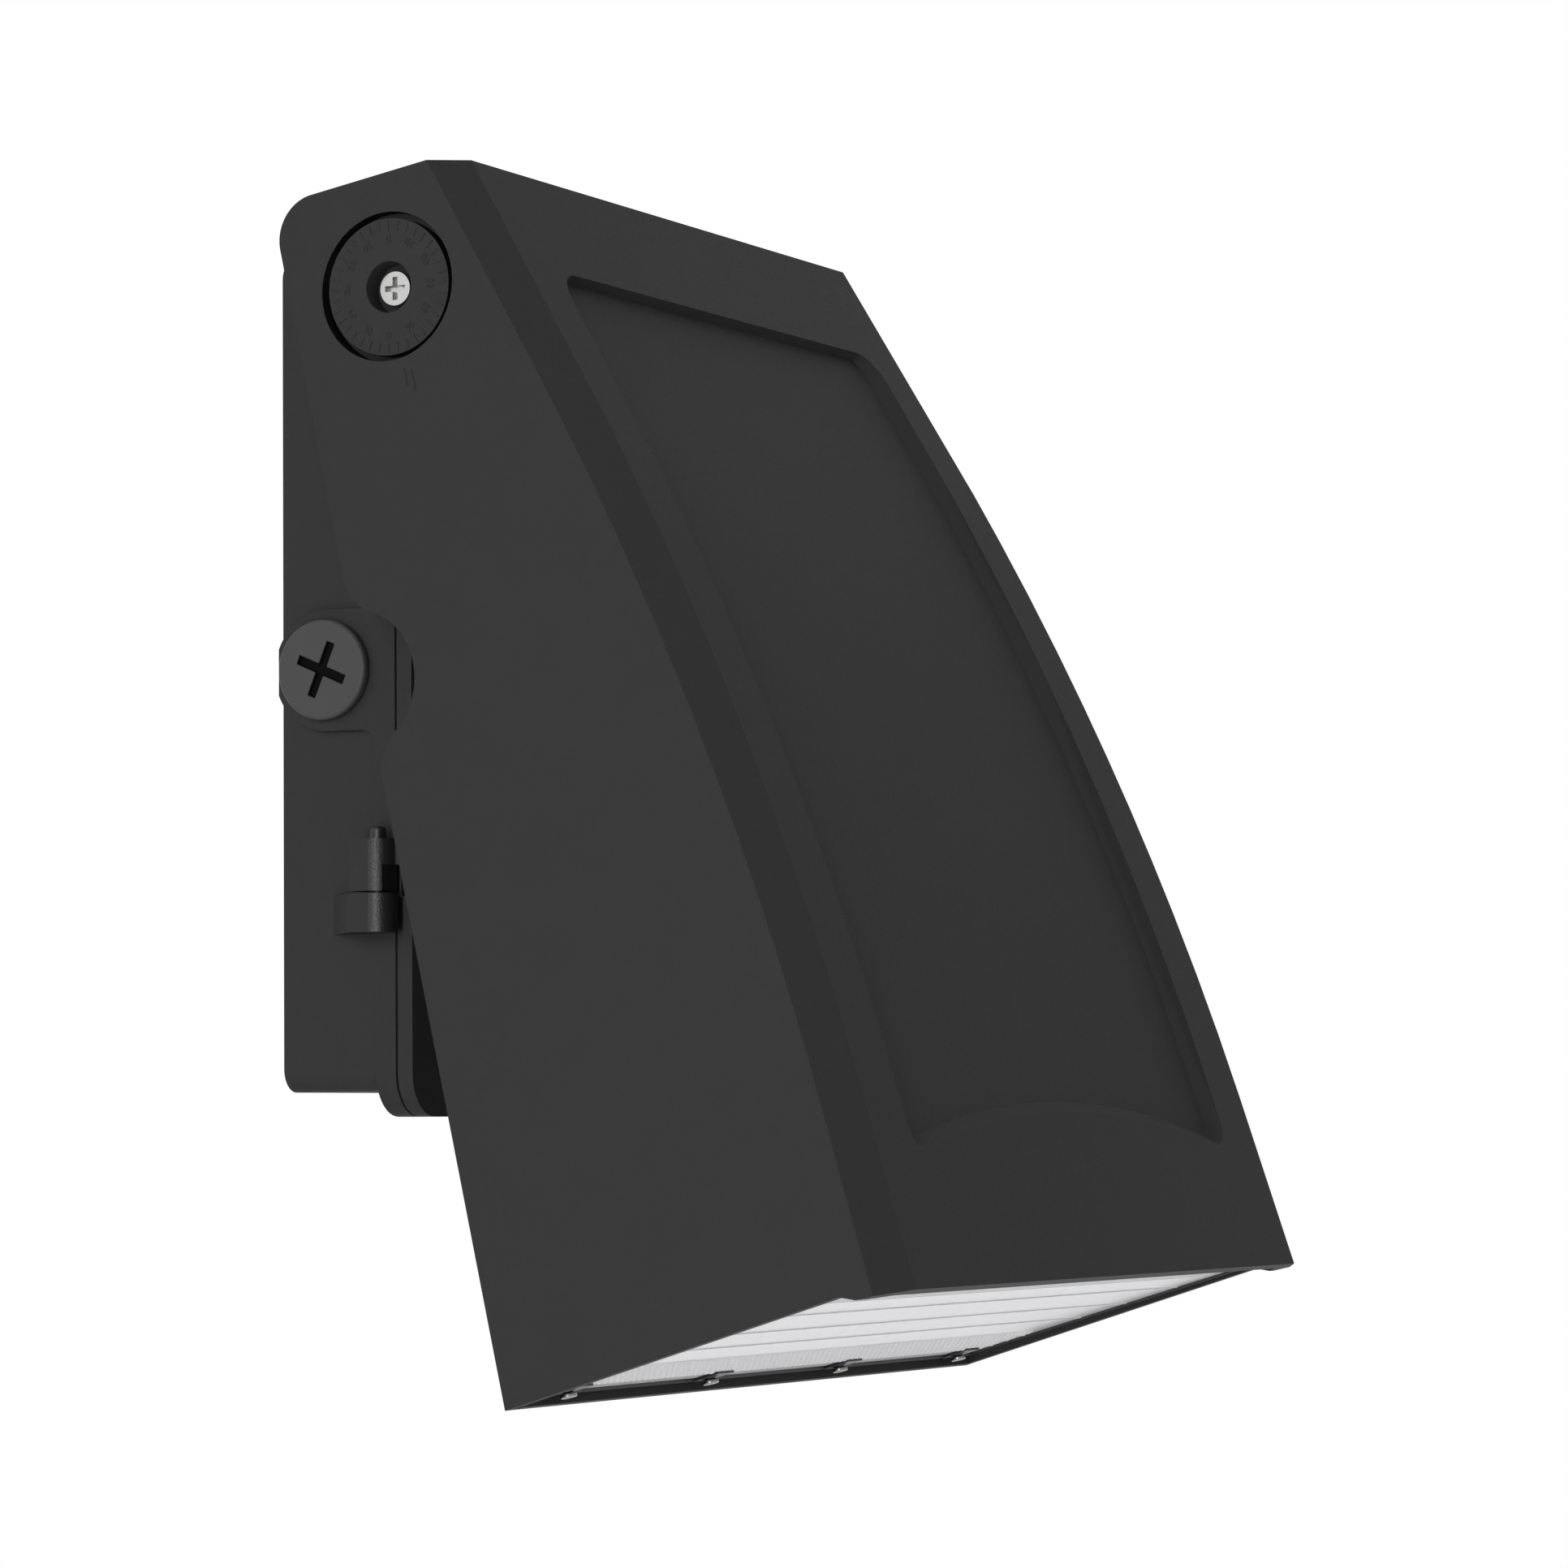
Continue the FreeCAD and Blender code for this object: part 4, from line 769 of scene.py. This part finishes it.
def lens_ribs(sizes):
    """Fine ribs across the lens: three that divide it, and a band of close ones at its front."""
    _, front, _, _ = lens_face()
    half = lens_half_width()
    places = list(GROOVES_FORWARD)
    place = HATCH_REAR
    while place < front - HATCH_PITCH:
        places.append(place)
        place += HATCH_PITCH
    ribs = []
    for place in places:
        inset = 0 if place < HATCH_REAR else HATCH_INSET
        ends = [under_lens(side * (half - inset), place) for side in (-1, 1)]
        ribs.append(bar("rib", *ends, sizes.groove_width, sizes.prism_height / 2, lens_down()))
    return finish(join(ribs, "lens_ribs"), "lens_glass", "head")


def lens_prisms(sizes):
    """The band of small hexagonal prisms along the lens's rear edge."""
    rear, _, _, _ = lens_face()
    half = lens_half_width()
    pitch, height = sizes.prism_pitch, sizes.prism_height
    row_pitch = pitch * PRISM_ROW
    columns = int((2 * half - pitch) / pitch)
    rows = int((PRISMS_FRONT - rear - pitch) / row_pitch)
    down = lens_down()
    along = down.cross(Vector((1, 0, 0))).normalized()
    along = along if along.dot(HEAD_FORWARD) > 0 else -along
    lines = []
    for row in range(rows):
        bpy.ops.mesh.primitive_cone_add(
            vertices=PRISM_SIDES, radius1=pitch * PRISM_BASE, radius2=pitch * PRISM_TIP, depth=height
        )
        prism = bpy.context.object
        first = (row % 2) * pitch / 2 - (columns - 1) * pitch / 2 - pitch / 4
        spot = under_lens(first, PRISMS_FRONT) - along * (row * row_pitch) + down * (height / 2)
        turn = Matrix((Vector((1, 0, 0)), down.cross(Vector((1, 0, 0))), down)).transposed().to_4x4()
        prism.matrix_world = Matrix.Translation(spot) @ turn
        settle(prism)
        repeated(prism, (pitch, 0, 0), columns)
        lines.append(prism)
    return finish(join(lines, "lens_prisms"), "lens_glass", "head")


class WALLPACK_OT_lens(bpy.types.Operator):
    """Ribs and small prisms moulded in the lens's lower face"""

    bl_idname = "wallpack.lens"
    bl_label = "Lens pattern"

    def execute(self, context):
        sizes = context.scene.wallpack_sizes
        lens_ribs(sizes)
        lens_prisms(sizes)
        return {"FINISHED"}


# Carried-over CAD nodes ------------------------------------------------------------------------------------


class WALLPACK_OT_finishes(bpy.types.Operator):
    """Give every remaining CAD node its finish"""

    bl_idname = "wallpack.finishes"
    bl_label = "Finishes"

    def execute(self, context):
        for name, node in frame["nodes"].items():
            node.data.materials.clear()
            node.data.materials.append(finish_of(slot_of(name)))
        return {"FINISHED"}


# Stage, lamps and camera -----------------------------------------------------------------------------------

# The floor's distance below the light and its size, in metres, and its colour.
FLOOR_DROP = 0.55
FLOOR_SIZE = 30
FLOOR_COLOUR = (0.85, 0.85, 0.85, 1)
WHITE = (1, 1, 1, 1)
# How brightly the white surround lights the object, where 1 is how bright it looks.
SURROUND_LIGHT = 0.31

# Each lamp's middle, width and height in metres, and its power in watts.
LAMPS = {
    "key_softbox": ((-2.0, 0.9, 0.6), 1.2, 1.2, 8),
    "upper_right_softbox": ((1.5, -1.5, 1.8), 1.2, 1.2, 3.0),
    "top_softbox": ((0, -0.3, 2.4), 1.4, 1.4, 7),
    "left_strip_light": ((-2.05, -0.5, 0.0), 0.12, 1.4, 23),
    "under_bounce": ((0.1, -0.5, -0.7), 0.8, 0.8, 0.7),
}
LAMP_AIM = Vector((0, -0.08, -0.03))

# The camera's place in metres, its turns in degrees, and its lens and sensor in millimetres.
CAMERA_SPOT = Vector((-1.3245, -0.7581, -0.1169))
CAMERA_YAW = 63.44
CAMERA_PITCH = 3.48
CAMERA_ROLL = -0.423
CAMERA_LENS_MM = 129.07
CAMERA_SENSOR_MM = 36.0
CAMERA_NEAR = 0.05


def soft_lamp(name, spot, width, height, watts):
    """A flat rectangular lamp that faces the light."""
    lamp = bpy.data.lights.new(name, "AREA")
    lamp.shape = "RECTANGLE"
    lamp.size = width
    lamp.size_y = height
    lamp.energy = watts
    holder = bpy.data.objects.new(name, lamp)
    holder.location = spot
    holder.rotation_euler = (LAMP_AIM - Vector(spot)).to_track_quat("-Z", "Y").to_euler()
    bpy.context.scene.collection.objects.link(holder)


def looked_at(tree):
    """1 for the rays that show the background: those of the camera, gloss and clear glass."""
    path = tree.nodes.new("ShaderNodeLightPath")
    shown = path.outputs["Is Camera Ray"]
    for kind in ("Is Glossy Ray", "Is Transmission Ray"):
        either = add_node(tree, "ShaderNodeMath", {0: shown, 1: path.outputs[kind]}, operation="MAXIMUM")
        shown = either.outputs[0]
    return shown


def white_surround(world):
    """A world that looks white, and lights the object softly."""
    world.use_nodes = True
    tree = world.node_tree
    tree.nodes.clear()
    output = tree.nodes.new("ShaderNodeOutputWorld")
    soft = add_node(tree, "ShaderNodeBackground", Color=WHITE, Strength=SURROUND_LIGHT)
    white = add_node(tree, "ShaderNodeBackground", Color=WHITE, Strength=1.0)
    mix = add_node(tree, "ShaderNodeMixShader", {0: looked_at(tree), 1: soft.outputs[0], 2: white.outputs[0]})
    tree.links.new(mix.outputs[0], output.inputs["Surface"])


def studio_floor(height):
    """A pale floor that looks white and keeps what shadow reaches it."""
    bpy.ops.mesh.primitive_plane_add(size=FLOOR_SIZE, location=(0, 0, height))
    floor = bpy.context.object
    floor.name = "studio_floor"
    material, tree, shader, _ = new_material("pale_floor", Base_Color=FLOOR_COLOUR, Roughness=0.9)
    glow = add_node(tree, "ShaderNodeEmission", Color=WHITE, Strength=1.0)
    links = {0: looked_at(tree), 1: shader.outputs["BSDF"], 2: glow.outputs[0]}
    mix = add_node(tree, "ShaderNodeMixShader", links)
    output = [node for node in tree.nodes if node.type == "OUTPUT_MATERIAL"][0]
    tree.links.new(mix.outputs[0], output.inputs["Surface"])
    floor.data.materials.append(material)
    settle(floor)


def photo_camera():
    """The camera, placed and turned as it was for the photo."""
    camera = bpy.data.cameras.new("camera")
    camera.sensor_width = CAMERA_SENSOR_MM
    camera.lens = CAMERA_LENS_MM
    camera.clip_start = CAMERA_NEAR
    holder = bpy.data.objects.new("camera", camera)
    yaw, pitch, roll = (math.radians(value) for value in (CAMERA_YAW, CAMERA_PITCH, CAMERA_ROLL))
    ahead = Vector((math.sin(yaw) * math.cos(pitch), math.cos(yaw) * math.cos(pitch), math.sin(pitch)))
    right = Vector((math.cos(yaw), -math.sin(yaw), 0))
    above = right.cross(ahead)
    turned_right = right * math.cos(roll) + above * math.sin(roll)
    turned_above = above * math.cos(roll) - right * math.sin(roll)
    turn = Matrix((turned_right, turned_above, -ahead)).transposed().to_4x4()
    holder.matrix_world = Matrix.Translation(CAMERA_SPOT) @ turn
    bpy.context.scene.collection.objects.link(holder)
    return holder


class WALLPACK_OT_stage(bpy.types.Operator):
    """Pale floor, softboxes, white surround and the camera"""

    bl_idname = "wallpack.stage"
    bl_label = "Stage"

    def execute(self, context):
        scene = context.scene
        low, _ = cad_box
        studio_floor(low[2] - FLOOR_DROP)
        world = bpy.data.worlds.new("white_surround")
        scene.world = world
        white_surround(world)
        for name, (spot, width, height, watts) in LAMPS.items():
            soft_lamp(name, spot, width, height, watts)
        scene.camera = photo_camera()
        scene.view_settings.view_transform = "Standard"
        return {"FINISHED"}


# Add-on ----------------------------------------------------------------------------------------------------


class WALLPACK_PT_panel(bpy.types.Panel):
    """Steps that dress the wall pack light"""

    bl_idname = "WALLPACK_PT_panel"
    bl_label = "Wall pack light"
    bl_space_type = "VIEW_3D"
    bl_region_type = "UI"
    bl_category = "Wall pack light"

    def draw(self, context):
        for step in OPERATORS:
            self.layout.operator(step.bl_idname)
        for group in (context.scene.wallpack_sizes, context.scene.wallpack_colours):
            for name in group.__annotations__:
                self.layout.prop(group, name)


OPERATORS = (
    WALLPACK_OT_finishes,
    WALLPACK_OT_castings,
    WALLPACK_OT_small_parts,
    WALLPACK_OT_dials,
    WALLPACK_OT_lens,
    WALLPACK_OT_stage,
)
CLASSES = (WALLPACK_PG_colours, WALLPACK_PG_sizes, *OPERATORS, WALLPACK_PT_panel)


def register():
    for kind in CLASSES:
        bpy.utils.register_class(kind)
    bpy.types.Scene.wallpack_colours = bpy.props.PointerProperty(type=WALLPACK_PG_colours)
    bpy.types.Scene.wallpack_sizes = bpy.props.PointerProperty(type=WALLPACK_PG_sizes)


def unregister():
    del bpy.types.Scene.wallpack_sizes
    del bpy.types.Scene.wallpack_colours
    for kind in reversed(CLASSES):
        bpy.utils.unregister_class(kind)


def main():
    register()
    for step in OPERATORS:
        group, name = step.bl_idname.split(".")
        getattr(getattr(bpy.ops, group), name)()


if __name__ == "__main__":
    main()
